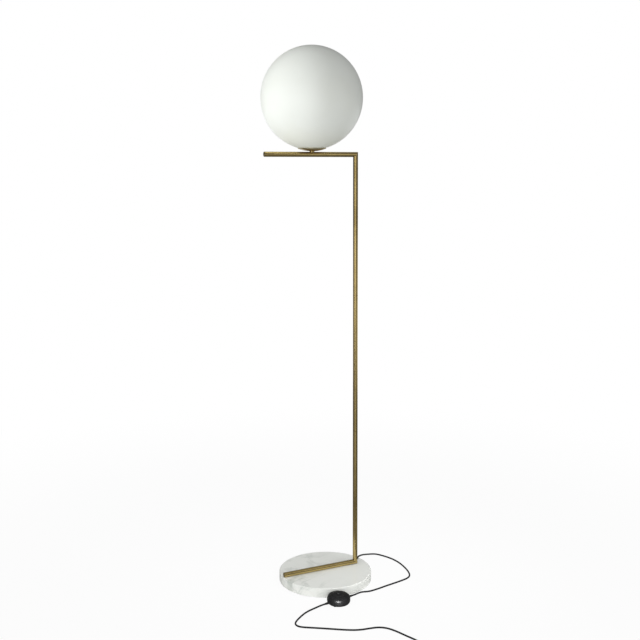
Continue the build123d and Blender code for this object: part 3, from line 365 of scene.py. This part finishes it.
def machined_metal(name, colour, shade, roughness):
    """Turned or pressed metal: fine tool marks and a little staining."""

    def build(nodes):
        place = nodes.place()
        marks = nodes.noise(nodes.moved(place, scale=(1.0, 1.0, 0.15)), 2400.0, 3.0, 0.6)
        stain = nodes.noise(place, 90.0, 4.0, 0.6, 0.4)
        return {
            "Base Color": nodes.blend(stain.step(0.35, 0.75), colour, shade),
            "Roughness": roughness + marks * 0.12 + stain * 0.10,
            "Normal": nodes.bump(marks, 0.00005, 0.4),
        }

    return finish_of(name, build, Metallic=1.0)


def marble(colours):
    """Polished white marble with soft grey-green veins."""

    def build(nodes):
        place = nodes.moved(nodes.place(), shift=(0.31, 0.17, 0.05), turn=(0.35, 0.2, 0.9))
        drift = nodes.noise(place, 7.0, 2.0, 0.5, 0.8)
        clouds = nodes.noise(place, 13.0, 4.0, 0.60, 1.0)
        veins = nodes.noise(nodes.moved(place, scale=(1.0, 0.5, 0.8)), 9.0, 3.0, 0.58, 1.3)
        threads = nodes.noise(nodes.moved(place, scale=(0.6, 1.0, 0.7)), 21.0, 5.0, 0.6, 1.6)
        crystals = nodes.cells(place, 1400.0)
        vein = 1.0 - (veins - 0.5).size().step(0.0, 0.060)
        thread = 1.0 - (threads - 0.5).size().step(0.0, 0.022)
        x, y = nodes.parts_of(nodes.place())[:2]
        # greyer clouds and more veins towards the left side
        greyer_side = (x - y * GREYER_SIDE_SLANT).step(*GREYER_SIDE_X)
        region = drift.step(0.42, 0.62) * (greyer_side * 0.85 + 0.15)
        grey = (clouds.step(0.50, 0.66) * (greyer_side * 0.34 + 0.04) + vein * region * 0.30
                + thread * region * 0.10)
        body = nodes.blend(grey, colours.marble, colours.marble_vein)
        body = nodes.blend(crystals * 0.05, body, (0.95, 0.95, 0.94))
        return {
            "Base Color": body,
            "Roughness": 0.16 + clouds * 0.10 + vein * region * 0.06,
            "Normal": nodes.bump(clouds * 0.8 + crystals * 0.05, 0.0001, 0.08),
        }

    return finish_of("marble", build, Specular_IOR_Level=0.5)


def opal_glass(colours):
    """White opal glass with a satin, faintly rippled skin."""

    def build(nodes):
        place = nodes.place()
        ripple = nodes.noise(place, 16.0, 2.0, 0.5)
        skin = nodes.noise(place, 1500.0, 2.0, 0.6)
        milk = nodes.noise(place, 7.0, 3.0, 0.5, 0.4)
        # painted warm shade on the glass near the brass cup, blended in below
        low = nodes.parts_of(place)[2].step(*GLOBE_CUP_SHADE_Z)
        tone = nodes.blend(milk.step(0.35, 0.7) * 0.5, colours.opal, colours.opal_shade)
        return {
            "Base Color": nodes.blend(low * 0.35, tone, (0.80, 0.80, 0.66)),
            "Roughness": 0.34 + skin * 0.06 + milk * 0.04,
            "Normal": nodes.bump(skin * 0.15 + ripple * 0.85, 0.0006, 0.10),
        }

    return finish_of("opal_glass", build, IOR=1.5)


def moulded(name, colour, worn, roughness, grain=1900.0):
    """Moulded plastic: an eroded grain from the tool, and dust in it."""

    def build(nodes):
        place = nodes.place()
        spark = nodes.noise(place, grain, 3.0, 0.6)
        handled = nodes.noise(place, 38.0, 4.0, 0.6, 0.5)
        dust = nodes.cells(place, 460.0).step(0.16, 0.05) * handled.step(0.50, 0.66)
        return {
            "Base Color": nodes.blend(handled.step(0.45, 0.8) * 0.4 + dust * 0.25, colour, worn),
            "Roughness": roughness + handled * 0.12 + dust * 0.15,
            "Normal": nodes.bump(spark, 0.00008, 0.5),
        }

    return finish_of(name, build, IOR=1.46)


def rubber(name, colour, worn, roughness):
    """Matt rubber with a chalky bloom."""

    def build(nodes):
        place = nodes.place()
        pores = nodes.cells(place, 1700.0)
        bloom = nodes.noise(place, 30.0, 5.0, 0.65, 0.5)
        return {
            "Base Color": nodes.blend(bloom.step(0.42, 0.75) * 0.7, colour, worn),
            "Roughness": roughness + bloom * 0.12,
            "Normal": nodes.bump(pores, 0.00008, 0.5),
        }

    return finish_of(name, build, IOR=1.5)


def sheath(colours):
    """The lead's soft black sheath: satin, with faint drag lines and scuffs."""

    def build(nodes):
        place = nodes.place()
        skin = nodes.noise(place, 900.0, 3.0, 0.6)
        scuff = nodes.noise(place, 120.0, 4.0, 0.7, 0.6)
        drag = nodes.noise(place, 26.0, 3.0, 0.5)
        marks = scuff.step(0.60, 0.78)
        return {
            "Base Color": nodes.blend(marks * 0.45 + drag * 0.15, colours.lead, colours.lead_worn),
            "Roughness": 0.36 + skin * 0.08 + marks * 0.18,
            "Normal": nodes.bump(skin * 0.6 + drag * 0.4, 0.00012, 0.35),
        }

    return finish_of("lead_sheath", build, IOR=1.5)


def glazed(name, colour, shade):
    """Glazed ceramic with fine mottling."""

    def build(nodes):
        place = nodes.place()
        mottle = nodes.noise(place, 260.0, 4.0, 0.6)
        pool = nodes.noise(place, 60.0, 3.0, 0.5)
        return {
            "Base Color": nodes.blend(mottle.step(0.4, 0.7) * 0.5, colour, shade),
            "Roughness": 0.22 + pool * 0.15,
            "Normal": nodes.bump(pool, 0.0001, 0.2),
        }

    return finish_of(name, build, IOR=1.52)


def core_insulation():
    """Two cores: brown on one side and blue on the other."""

    def build(nodes):
        place = nodes.place()
        skin = nodes.noise(place, 1200.0, 2.0, 0.5)
        side = (nodes.parts_of(place)[0] - GLOBE_AXIS_X).step(-0.0002, 0.0002)
        colour = nodes.blend(side, (0.13, 0.045, 0.015), (0.015, 0.09, 0.32))
        return {
            "Base Color": nodes.blend(skin * 0.2, colour, (0.5, 0.5, 0.5)),
            "Roughness": 0.36 + skin * 0.12,
            "Normal": nodes.bump(skin, 0.00005, 0.3),
        }

    return finish_of("core_insulation", build)


def woven_strap():
    """Black woven tie: ribs across and threads along."""

    def build(nodes):
        place = nodes.place()
        x, y, z = nodes.parts_of(place)
        ribs = (y * WEAVE).sine()
        threads = (x * WEAVE + z * WEAVE).sine()
        weave = ribs * threads * 0.5 + 0.5
        lint = nodes.noise(place, 700.0, 4.0, 0.7)
        return {
            "Base Color": nodes.blend(
                weave * 0.5 + lint * 0.3, (0.008, 0.008, 0.008), (0.05, 0.05, 0.05)),
            "Roughness": 0.72 + lint * 0.15,
            "Normal": nodes.bump(weave, 0.0003, 0.6),
        }

    return finish_of("tie_strap", build)


# ---------------------------------------------------------------- settings shown in the panel
class LAMP_PG_colours(bpy.types.PropertyGroup):
    brass: FloatVectorProperty(
        name="Brass", description="Colour of the satin brass", subtype="COLOR", size=3,
        min=0, max=1, default=(0.61, 0.466, 0.196))
    # also the colour of the painted shade towards the arm's corner
    brass_dark: FloatVectorProperty(
        name="Tarnish", description="Colour of the brass where it has darkened", subtype="COLOR",
        size=3, min=0, max=1, default=(0.34, 0.246, 0.092))
    marble: FloatVectorProperty(
        name="Marble", description="Body colour of the marble", subtype="COLOR", size=3,
        min=0, max=1, default=(0.89, 0.905, 0.862))
    marble_vein: FloatVectorProperty(
        name="Veins", description="Colour of the marble's veins", subtype="COLOR", size=3,
        min=0, max=1, default=(0.46, 0.50, 0.45))
    opal: FloatVectorProperty(
        name="Opal glass", description="Colour of the globe", subtype="COLOR", size=3,
        min=0, max=1, default=(0.850, 0.880, 0.832))
    opal_shade: FloatVectorProperty(
        name="Opal shade", description="Colour of the globe where the glass is thicker",
        subtype="COLOR", size=3, min=0, max=1, default=(0.810, 0.835, 0.770))
    lead: FloatVectorProperty(
        name="Lead", description="Colour of the lead's sheath", subtype="COLOR", size=3,
        min=0, max=1, default=(0.009, 0.009, 0.010))
    lead_worn: FloatVectorProperty(
        name="Scuffs", description="Colour of the lead where it is scuffed", subtype="COLOR",
        size=3, min=0, max=1, default=(0.032, 0.032, 0.032))
    plastic: FloatVectorProperty(
        name="Switch", description="Colour of the foot switch and plug", subtype="COLOR", size=3,
        min=0, max=1, default=(0.005, 0.005, 0.0055))


class LAMP_PG_sizes(bpy.types.PropertyGroup):
    lead_diameter: FloatProperty(
        name="Lead", description="Diameter of the lead", unit="LENGTH", min=0.003, max=0.009,
        default=0.005)
    globe_radius: FloatProperty(
        name="Globe radius", description="Outer radius of the opal globe", unit="LENGTH",
        min=0.05, max=0.3, default=0.150)
    globe_wall: FloatProperty(
        name="Glass", description="Thickness of the opal glass", unit="LENGTH", min=0.001,
        max=0.006, default=0.003)
    mouth_radius: FloatProperty(
        name="Mouth radius", description="Radius of the globe's opening at the cup",
        unit="LENGTH", min=0.02, max=0.1, default=0.034)
    globe_segments: IntProperty(
        name="Globe segments", description="Facets round the globe", min=32, max=256, default=192)
    plug_ribs: IntProperty(
        name="Plug ribs", description="Grip ribs on each face of the plug", min=0, max=9, default=5)


# ---------------------------------------------------------------- pieces that follow a rule
def made_by_rule(name, build, material, **sizes):
    """A plain mesh from a Geometry Nodes tree: build(nodes, given) gives its shape."""
    tree = bpy.data.node_groups.new(name + "_rule", "GeometryNodeTree")
    values = {key.replace("_", " ").capitalize(): value for key, value in sizes.items()}
    values["Material"] = material
    sockets = {}
    for key, value in values.items():
        kind = {int: "NodeSocketInt", float: "NodeSocketFloat"}.get(type(value), "NodeSocketMaterial")
        sockets[key] = tree.interface.new_socket(key, in_out="INPUT", socket_type=kind)
    tree.interface.new_socket("Geometry", in_out="OUTPUT", socket_type="NodeSocketGeometry")
    nodes = Nodes(tree)
    inlet = tree.nodes.new("NodeGroupInput")
    given = {key: Wire(nodes, inlet.outputs[key]) for key in values}
    shape = nodes.add("GeometryNodeRealizeInstances", inputs={"Geometry": build(nodes, given)})
    dressed = {"Geometry": shape, "Material": given["Material"]}
    shape = nodes.add("GeometryNodeSetMaterial", inputs=dressed)
    nodes.add("NodeGroupOutput", inputs={"Geometry": shape})

    maker = bpy.data.objects.new(name + "_maker", bpy.data.meshes.new(name + "_maker"))
    bpy.context.scene.collection.objects.link(maker)
    modifier = maker.modifiers.new("rule", "NODES")
    modifier.node_group = tree
    for key, value in values.items():
        modifier[sockets[key].identifier] = value
    graph = bpy.context.evaluated_depsgraph_get()
    mesh = bpy.data.meshes.new_from_object(maker.evaluated_get(graph))
    bpy.data.objects.remove(maker)
    mesh.name = name
    piece = bpy.data.objects.new(name, mesh)
    bpy.context.scene.collection.objects.link(piece)
    return piece


def globe_rule(nodes, given):
    """A sheet wrapped over the globe's outside, round its lip and up its inside."""
    half_wall = given["Wall"] * 0.5
    middle = given["Radius"] - half_wall
    lip_angle = ((given["Mouth radius"] + half_wall) / middle).arcsine()
    counts = {"Size X": 1.0, "Size Y": 1.0, "Vertices X": given["Segments"] + 1,
              "Vertices Y": given["Rows"]}
    sheet = nodes.add("GeometryNodeMeshGrid", inputs=counts, output="Mesh")
    u, v = nodes.parts_of(nodes.add("GeometryNodeInputPosition"))[:2]
    along = v + 0.5
    arc = (along / LIP_START).at_most((1.0 - along) / LIP_START).at_most(1.0)
    lip = ((along - LIP_START) / (1.0 - 2 * LIP_START)).at_least(0.0).at_most(1.0) * math.pi
    bulge = lip.sine() * half_wall / middle
    up = lip_angle + (math.pi - lip_angle) * (1.0 - arc) - bulge
    reach = middle + lip.cosine() * half_wall
    turn = (u + 0.5) * (2 * math.pi)
    across = reach * up.sine()
    spot = nodes.add("ShaderNodeCombineXYZ", inputs={
        0: across * turn.cosine() + given["Axis x"],
        1: across * turn.sine(),
        2: given["Centre z"] - reach * up.cosine()})
    shell = nodes.add("GeometryNodeSetPosition", inputs={"Geometry": sheet, "Position": spot})
    shell = nodes.add("GeometryNodeMergeByDistance", inputs={
        "Geometry": shell, "Distance": SAME_PLACE})
    shell = nodes.add("GeometryNodeFlipFaces", inputs={"Mesh": shell})
    return nodes.add("GeometryNodeSetShadeSmooth", inputs={0: shell})


def ribs_rule(nodes, given):
    """Round bars in a row, half sunk in the plug's upper face."""
    first = nodes.add("ShaderNodeCombineXYZ", inputs={0: given["First x"], 2: given["First z"]})
    last = nodes.add("ShaderNodeCombineXYZ", inputs={0: given["Last x"], 2: given["Last z"]})
    row = nodes.add("GeometryNodeMeshLine", {"mode": "END_POINTS"}, {
        "Count": given["Count"], "Start Location": first, "Offset": last})
    ends = [nodes.add("ShaderNodeCombineXYZ", inputs={1: given["Rib length"] * side})
            for side in (-0.5, 0.5)]
    line = nodes.add("GeometryNodeCurvePrimitiveLine", inputs={"Start": ends[0], "End": ends[1]})
    line = nodes.add("GeometryNodeResampleCurve", inputs={"Curve": line, "Count": RIB_STEPS})
    factor = nodes.add("GeometryNodeSplineParameter", output="Factor")
    off_middle = (factor - 0.5).size() * 2.0
    taper = (1.0 - off_middle ** RIB_END_ROUNDING) ** 0.5
    profile = nodes.add("GeometryNodeCurvePrimitiveCircle", inputs={
        "Resolution": RIB_FACETS, "Radius": given["Rib radius"]}, output="Curve")
    bar = nodes.add("GeometryNodeSetCurveRadius", inputs={"Curve": line, "Radius": taper})
    bar = nodes.add("GeometryNodeCurveToMesh", inputs={
        "Curve": bar, "Profile Curve": profile, "Fill Caps": True})
    ribs = nodes.add("GeometryNodeInstanceOnPoints", inputs={"Points": row, "Instance": bar})
    ribs = nodes.add("GeometryNodeTranslateInstances", inputs={
        "Instances": ribs, "Translation": nodes.add("ShaderNodeCombineXYZ", inputs={
            1: given["Middle y"]})})
    ribs = nodes.add("GeometryNodeRealizeInstances", inputs={"Geometry": ribs})
    return nodes.add("GeometryNodeSetShadeSmooth", inputs={0: ribs})


# ---------------------------------------------------------------- cords
def along_switch(distance):
    """Point on the lead's line through the foot switch."""
    return (SWITCH_PLACE[0] + distance * math.cos(SWITCH_TURN),
            SWITCH_PLACE[1] + distance * math.sin(SWITCH_TURN), SWITCH_SPLIT_Z)


def coil_point(turn):
    """In on the lower layer and out on the upper one, clockwise from the +X side."""
    half = COIL_TURNS / 2
    angle = -2 * math.pi * turn
    radius = COIL_RADIUS - COIL_STEP * (half - abs(half - turn))
    climb = min(1.0, max(0.0, 0.5 + (turn - half) / 0.5))
    return Vector((COIL_CENTRE[0] + radius * math.cos(angle),
                   COIL_CENTRE[1] + radius * math.sin(angle), COIL_Z + COIL_STEP * climb))


def coil_way(turn):
    """Direction of the lead at a turn of the coil."""
    nudge = 1e-4
    return (coil_point(turn + nudge) - coil_point(turn - nudge)).normalized()


def cord_piece(name, points, diameter, material):
    """A round lead along one smooth spline."""
    curve = bpy.data.curves.new(name, "CURVE")
    curve.dimensions = "3D"
    curve.bevel_depth = diameter / 2
    curve.bevel_resolution = 6
    curve.use_fill_caps = True
    curve.resolution_u = 8
    spline = curve.splines.new("NURBS")
    spline.points.add(len(points) - 1)
    for point, place in zip(spline.points, points):
        point.co = (*place, 1.0)
    spline.order_u = 3
    spline.use_endpoint_u = True
    curve.materials.append(material)
    piece = bpy.data.objects.new(name, curve)
    bpy.context.scene.collection.objects.link(piece)
    return piece


class LAMP_OT_lead(bpy.types.Operator):
    """Lays the lead: lamp to foot switch, and foot switch to coil and plug"""

    bl_idname = "lamp.lead"
    bl_label = "Lead"

    def execute(self, context):
        diameter = context.scene.lamp_sizes.lead_diameter
        skin = sheath(context.scene.lamp_colours)
        dress(skin, "lead_inside", "lead_in_switch")

        out = (BUSH_TIP[0] + LEAD_STRAIGHT * math.cos(BUSH_BEARING),
               BUSH_TIP[1] + LEAD_STRAIGHT * math.sin(BUSH_BEARING), BUSH_TIP[2])
        to_switch = [BUSH_TIP, out, *LAMP_ROUTE,
                     along_switch(SLEEVE_TIP + LEAD_STRAIGHT), along_switch(SLEEVE_TIP)]
        first = cord_piece("lead_lamp_to_switch", to_switch, diameter, skin)
        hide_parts("lead_to_switch")
        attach(first, "stand")

        start, way = coil_point(0), coil_way(0)
        steps = round(COIL_TURNS * COIL_POINTS_PER_TURN)
        turns = [coil_point(COIL_TURNS * step / steps) for step in range(steps + 1)]
        tail, tail_way = turns[-1], coil_way(COIL_TURNS)
        low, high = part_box("plug_body")
        plug_end = Vector((high[0], (low[1] + high[1]) / 2, PLUG_Z))
        before_plug = plug_end + Vector((LEAD_STRAIGHT, 0, 0))
        leaving = along_switch(-SLEEVE_TIP)
        to_plug = [leaving, along_switch(-SLEEVE_TIP - LEAD_STRAIGHT), *PLUG_ROUTE,
                   tuple(start - way * COIL_RUN_IN), *turns,
                   tuple(tail + tail_way * LEAD_STRAIGHT), tuple(before_plug), tuple(plug_end)]
        second = cord_piece("lead_switch_to_plug", to_plug, diameter, skin)
        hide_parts("lead_to_coil", "lead_coil", "lead_to_plug")
        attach(second, "stand")
        return {"FINISHED"}


# ---------------------------------------------------------------- stage
class LAMP_OT_stage(bpy.types.Operator):
    """Makes the camera, the soft lights, the white surround and the floor"""

    bl_idname = "lamp.stage"
    bl_label = "Stage"

    def execute(self, context):
        self.camera(context)
        self.surround(context)
        self.floor(context)
        self.lights(context)
        context.scene.view_settings.view_transform = "Standard"
        return {"FINISHED"}

    def camera(self, context):
        data = bpy.data.cameras.new("camera")
        data.sensor_width = 36.0
        data.lens = CAMERA_LENS
        data.clip_end = 60.0
        camera = bpy.data.objects.new("camera", data)
        context.scene.collection.objects.link(camera)
        turn = Matrix.Rotation(-CAMERA_YAW, 4, "Z")
        tip = Matrix.Rotation(math.pi / 2 - CAMERA_PITCH, 4, "X")
        roll = Matrix.Rotation(CAMERA_ROLL, 4, "Z")
        camera.matrix_world = Matrix.Translation(CAMERA_PLACE) @ turn @ tip @ roll
        context.scene.camera = camera

    def surround(self, context):
        """White to the camera, soft light on matt surfaces, and a mostly dim studio in metal."""
        world = bpy.data.worlds.new("surround")
        context.scene.world = world
        world.use_nodes = True
        world.node_tree.nodes.clear()
        nodes = Nodes(world.node_tree)
        path = nodes.add("ShaderNodeLightPath").socket.node.outputs
        seen = Wire(nodes, path["Is Camera Ray"])
        glossy = Wire(nodes, path["Is Glossy Ray"])
        through = Wire(nodes, path["Is Transmission Ray"])
        x, y, z = nodes.parts_of(nodes.add("ShaderNodeTexCoord", output="Generated"))
        beside, behind = from_camera(x, y)
        low = z.step(-0.02, -0.14)
        studio = (STUDIO_DIM + behind.step(0.15, 0.7) * (low * 0.93 + 0.07) * STUDIO_BACK
                  + beside.step(0.15, 0.75) * low * STUDIO_RIGHT + z.step(0.5, 0.9) * STUDIO_TOP)
        ambient = AMBIENT * (1.0 - beside * AMBIENT_LEAN - z * AMBIENT_FADE)
        white = (seen + through).at_most(1.0)
        rest = 1.0 - white
        strength = white + rest * (glossy * studio + (1.0 - glossy) * ambient)
        light = nodes.add("ShaderNodeBackground", inputs={"Color": (1, 1, 1, 1), "Strength": strength})
        nodes.add("ShaderNodeOutputWorld", inputs={"Surface": light})

    def floor(self, context):
        mesh = bpy.data.meshes.new("floor")
        half = FLOOR_SIZE / 2
        mesh.from_pydata([(-half, -half, 0), (half, -half, 0), (half, half, 0), (-half, half, 0)],
                         [], [(0, 1, 2, 3)])
        floor = bpy.data.objects.new("floor", mesh)
        context.scene.collection.objects.link(floor)
        material = bpy.data.materials.new("floor")
        material.use_nodes = True
        material.node_tree.nodes.clear()
        nodes = Nodes(material.node_tree)
        path = nodes.add("ShaderNodeLightPath").socket.node.outputs
        seen = Wire(nodes, path["Is Camera Ray"])
        glossy = Wire(nodes, path["Is Glossy Ray"])
        paint = nodes.noise(nodes.place(), 3.0, 2.0)
        pale = nodes.blend(paint, (0.86, 0.86, 0.86), (0.88, 0.88, 0.88))
        shown = nodes.blend(glossy, pale, FLOOR_IN_METAL)
        matt = nodes.add("ShaderNodeBsdfDiffuse", inputs={"Color": shown})
        white = nodes.add("ShaderNodeEmission", inputs={"Color": (1, 1, 1, 1), "Strength": 1.0})
        x, y = nodes.parts_of(nodes.place())[:2]
        far = ((x * x + y * y) ** 0.5).step(*FLOOR_FADE)
        beside, behind = from_camera(x, y)
        ahead = 0.0 - behind
        pool = (beside.size() - ahead * 0.30).step(0.05, -0.20) * ahead.step(0.6, 1.0)
        share = seen * (FLOOR_WHITE + far * (1.0 - FLOOR_WHITE)) + glossy * pool * FLOOR_POOL
        shader = nodes.add("ShaderNodeMixShader", inputs={0: share, 1: matt, 2: white})
        nodes.add("ShaderNodeOutputMaterial", inputs={"Surface": shader})
        floor.data.materials.append(material)
        floor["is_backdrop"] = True

    def lights(self, context):
        for values in LIGHTS:
            self.softbox(context, *values)
        card = self.softbox(context, *SWITCH_CARD)
        lit = bpy.data.collections.new("lit_by_switch_card")
        for name in ("switch_base", "switch_cover", "switch_button"):
            lit.objects.link(NODES[name])
        card.light_linking.receiver_collection = lit

    @staticmethod
    def softbox(context, name, place, target, width, height, power, spread, in_metal):
        data = bpy.data.lights.new(name, "AREA")
        data.shape = "RECTANGLE"
        data.size, data.size_y = width, height
        data.energy = power
        data.spread = math.radians(spread)
        light = bpy.data.objects.new(name, data)
        context.scene.collection.objects.link(light)
        light.location = place
        light.visible_camera = False
        light.visible_glossy = in_metal
        way = Vector(target) - Vector(place)
        light.rotation_euler = way.to_track_quat("-Z", "Y").to_euler()
        return light


# ---------------------------------------------------------------- finishes of the pieces
class LAMP_OT_base(bpy.types.Operator):
    """Finishes the marble base, its pad and its fixings"""

    bl_idname = "lamp.base"
    bl_label = "Base"

    def execute(self, context):
        dress(marble(context.scene.lamp_colours), "marble_base")
        dress(rubber("base_rubber", (0.020, 0.020, 0.020), (0.06, 0.06, 0.058), 0.70), "base_pad")
        steel = machined_metal("steel", (0.60, 0.59, 0.57), (0.42, 0.41, 0.39), 0.26)
        dress(steel, "base_screws", "base_washers", "stem_nut", "clip_plate", "clip_rivets",
              "switch_screws", "switch_plunger", "switch_clamp_screws", "stem")
        return {"FINISHED"}


class LAMP_OT_frame(bpy.types.Operator):
    """Finishes the brass tubes, their joints, the cup and its collar"""

    bl_idname = "lamp.frame"
    bl_label = "Brass frame"

    def execute(self, context):
        colours = context.scene.lamp_colours
        dress(brushed_brass("brass_upright", "z", colours), "pole_lower", "pole_middle", "pole_upper")
        dress(brushed_brass("brass_level", "x", colours),
              "foot_tube", "foot_tube_cap", "arm_tube", "arm_tube_cap")
        dress(spun_brass("brass_spun", colours), "globe_cup", "stem_collar")
        plain = machined_metal("brass_plain", (0.66, 0.50, 0.24), (0.48, 0.36, 0.16), 0.24)
        dress(plain, "foot_anchors", "pole_joint_studs", "pole_joint_bushes", "arm_stem_block",
              "lampholder_screw_shell", "lampholder_contact", "lampholder_terminals",
              "switch_terminals")
        dress(rubber("lead_bush", (0.012, 0.012, 0.012), (0.035, 0.035, 0.035), 0.50), "lead_bush")
        return {"FINISHED"}


class LAMP_OT_globe(bpy.types.Operator):
    """Makes the opal globe and finishes what holds it"""

    bl_idname = "lamp.globe"
    bl_label = "Opal globe"

    def execute(self, context):
        sizes = context.scene.lamp_sizes
        glass = opal_glass(context.scene.lamp_colours)
        globe = made_by_rule(
            "opal_globe", globe_rule, glass, radius=sizes.globe_radius, wall=sizes.globe_wall,
            mouth_radius=sizes.mouth_radius, segments=sizes.globe_segments, rows=GLOBE_ROWS,
            axis_x=GLOBE_AXIS_X,
            centre_z=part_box("glass_globe")[1][2] - sizes.globe_radius)
        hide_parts("glass_globe")
        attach(globe, "globe")
        dress(rubber("seal_rubber", (0.045, 0.045, 0.044), (0.09, 0.09, 0.088), 0.60), "globe_seal")
        dress(machined_metal("spring_steel", (0.46, 0.46, 0.47), (0.30, 0.30, 0.32), 0.22),
              "globe_clips", "switch_spring")
        return {"FINISHED"}


class LAMP_OT_lampholder(bpy.types.Operator):
    """Finishes the lampholder and the bulb"""

    bl_idname = "lamp.lampholder"
    bl_label = "Lampholder and bulb"

    def execute(self, context):
        dress(moulded("holder_plastic", (0.018, 0.017, 0.016), (0.05, 0.05, 0.048), 0.30),
              "lampholder_cap", "lampholder_body")
        dress(glazed("ceramic", (0.80, 0.78, 0.72), (0.66, 0.64, 0.58)),
              "lampholder_insert", "switch_block")
        dress(core_insulation(), "lampholder_cores")
        dress(machined_metal("bulb_metal", (0.68, 0.67, 0.64), (0.50, 0.49, 0.47), 0.20),
              "bulb_cap", "bulb_contact", "bulb_led_plate")
        dress(moulded("bulb_housing", (0.82, 0.82, 0.80), (0.70, 0.70, 0.68), 0.32), "bulb_body")
        dress(moulded("bulb_diffuser", (0.86, 0.86, 0.83), (0.80, 0.80, 0.77), 0.42, 900.0), "bulb_dome")
        return {"FINISHED"}


class LAMP_OT_switch(bpy.types.Operator):
    """Finishes the foot switch"""

    bl_idname = "lamp.foot_switch"
    bl_label = "Foot switch"

    def execute(self, context):
        black = context.scene.lamp_colours.plastic
        dress(moulded("switch_plastic", black, (0.014, 0.014, 0.015), 0.31),
              "switch_base", "switch_cover", "switch_lead_clamps")
        dress(moulded("switch_button_plastic", black, (0.020, 0.020, 0.021), 0.26), "switch_button")
        dress(rubber("switch_rubber", (0.014, 0.014, 0.014), (0.04, 0.04, 0.04), 0.55),
              "switch_feet", "switch_sleeves")
        return {"FINISHED"}


class LAMP_OT_plug(bpy.types.Operator):
    """Finishes the plug, its pins and the coil's tie"""

    bl_idname = "lamp.plug"
    bl_label = "Plug and tie"

    def execute(self, context):
        black = context.scene.lamp_colours.plastic
        plastic = moulded("plug_plastic", black, (0.035, 0.035, 0.035), 0.38)
        dress(plastic, "plug_body")
        low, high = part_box("plug_body")
        ribs = made_by_rule(
            "plug_ribs", ribs_rule, plastic, count=context.scene.lamp_sizes.plug_ribs,
            first_x=low[0] + FIRST_RIB_IN, first_z=high[2] - FIRST_RIB_DOWN,
            last_x=low[0] + LAST_RIB_IN, last_z=high[2] - LAST_RIB_DOWN,
            middle_y=(low[1] + high[1]) / 2, rib_length=RIB_LENGTH, rib_radius=RIB_RADIUS)
        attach(ribs, "stand")
        dress(machined_metal("pin_brass", (0.72, 0.70, 0.64), (0.55, 0.53, 0.46), 0.18), "plug_pins")
        dress(woven_strap(), "coil_tie")
        return {"FINISHED"}


STEPS = (LAMP_OT_stage, LAMP_OT_plug, LAMP_OT_lead, LAMP_OT_base, LAMP_OT_frame, LAMP_OT_globe,
         LAMP_OT_lampholder, LAMP_OT_switch)


class LAMP_PT_panel(bpy.types.Panel):
    """Lists the lamp's settings and its steps"""

    bl_idname = "LAMP_PT_panel"
    bl_label = "Globe floor lamp"
    bl_space_type = "VIEW_3D"
    bl_region_type = "UI"
    bl_category = "Lamp"

    def draw(self, context):
        layout = self.layout
        for group in (context.scene.lamp_sizes, context.scene.lamp_colours):
            box = layout.box()
            for key in group.__annotations__:
                box.prop(group, key)
        for step in STEPS:
            layout.operator(step.bl_idname)


CLASSES = (LAMP_PG_colours, LAMP_PG_sizes, *STEPS, LAMP_PT_panel)


def register():
    for one in CLASSES:
        bpy.utils.register_class(one)
    bpy.types.Scene.lamp_colours = PointerProperty(type=LAMP_PG_colours)
    bpy.types.Scene.lamp_sizes = PointerProperty(type=LAMP_PG_sizes)


def unregister():
    del bpy.types.Scene.lamp_sizes
    del bpy.types.Scene.lamp_colours
    for one in reversed(CLASSES):
        bpy.utils.unregister_class(one)


def main():
    register()
    for step in STEPS:
        group, name = step.bl_idname.split(".")
        getattr(getattr(bpy.ops, group), name)()
    boxes = {"cad": CAD_BOX, "visual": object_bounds()}
    {key: [list(corner) for corner in box] for key, box in boxes.items()}


if __name__ == "__main__":
    main()
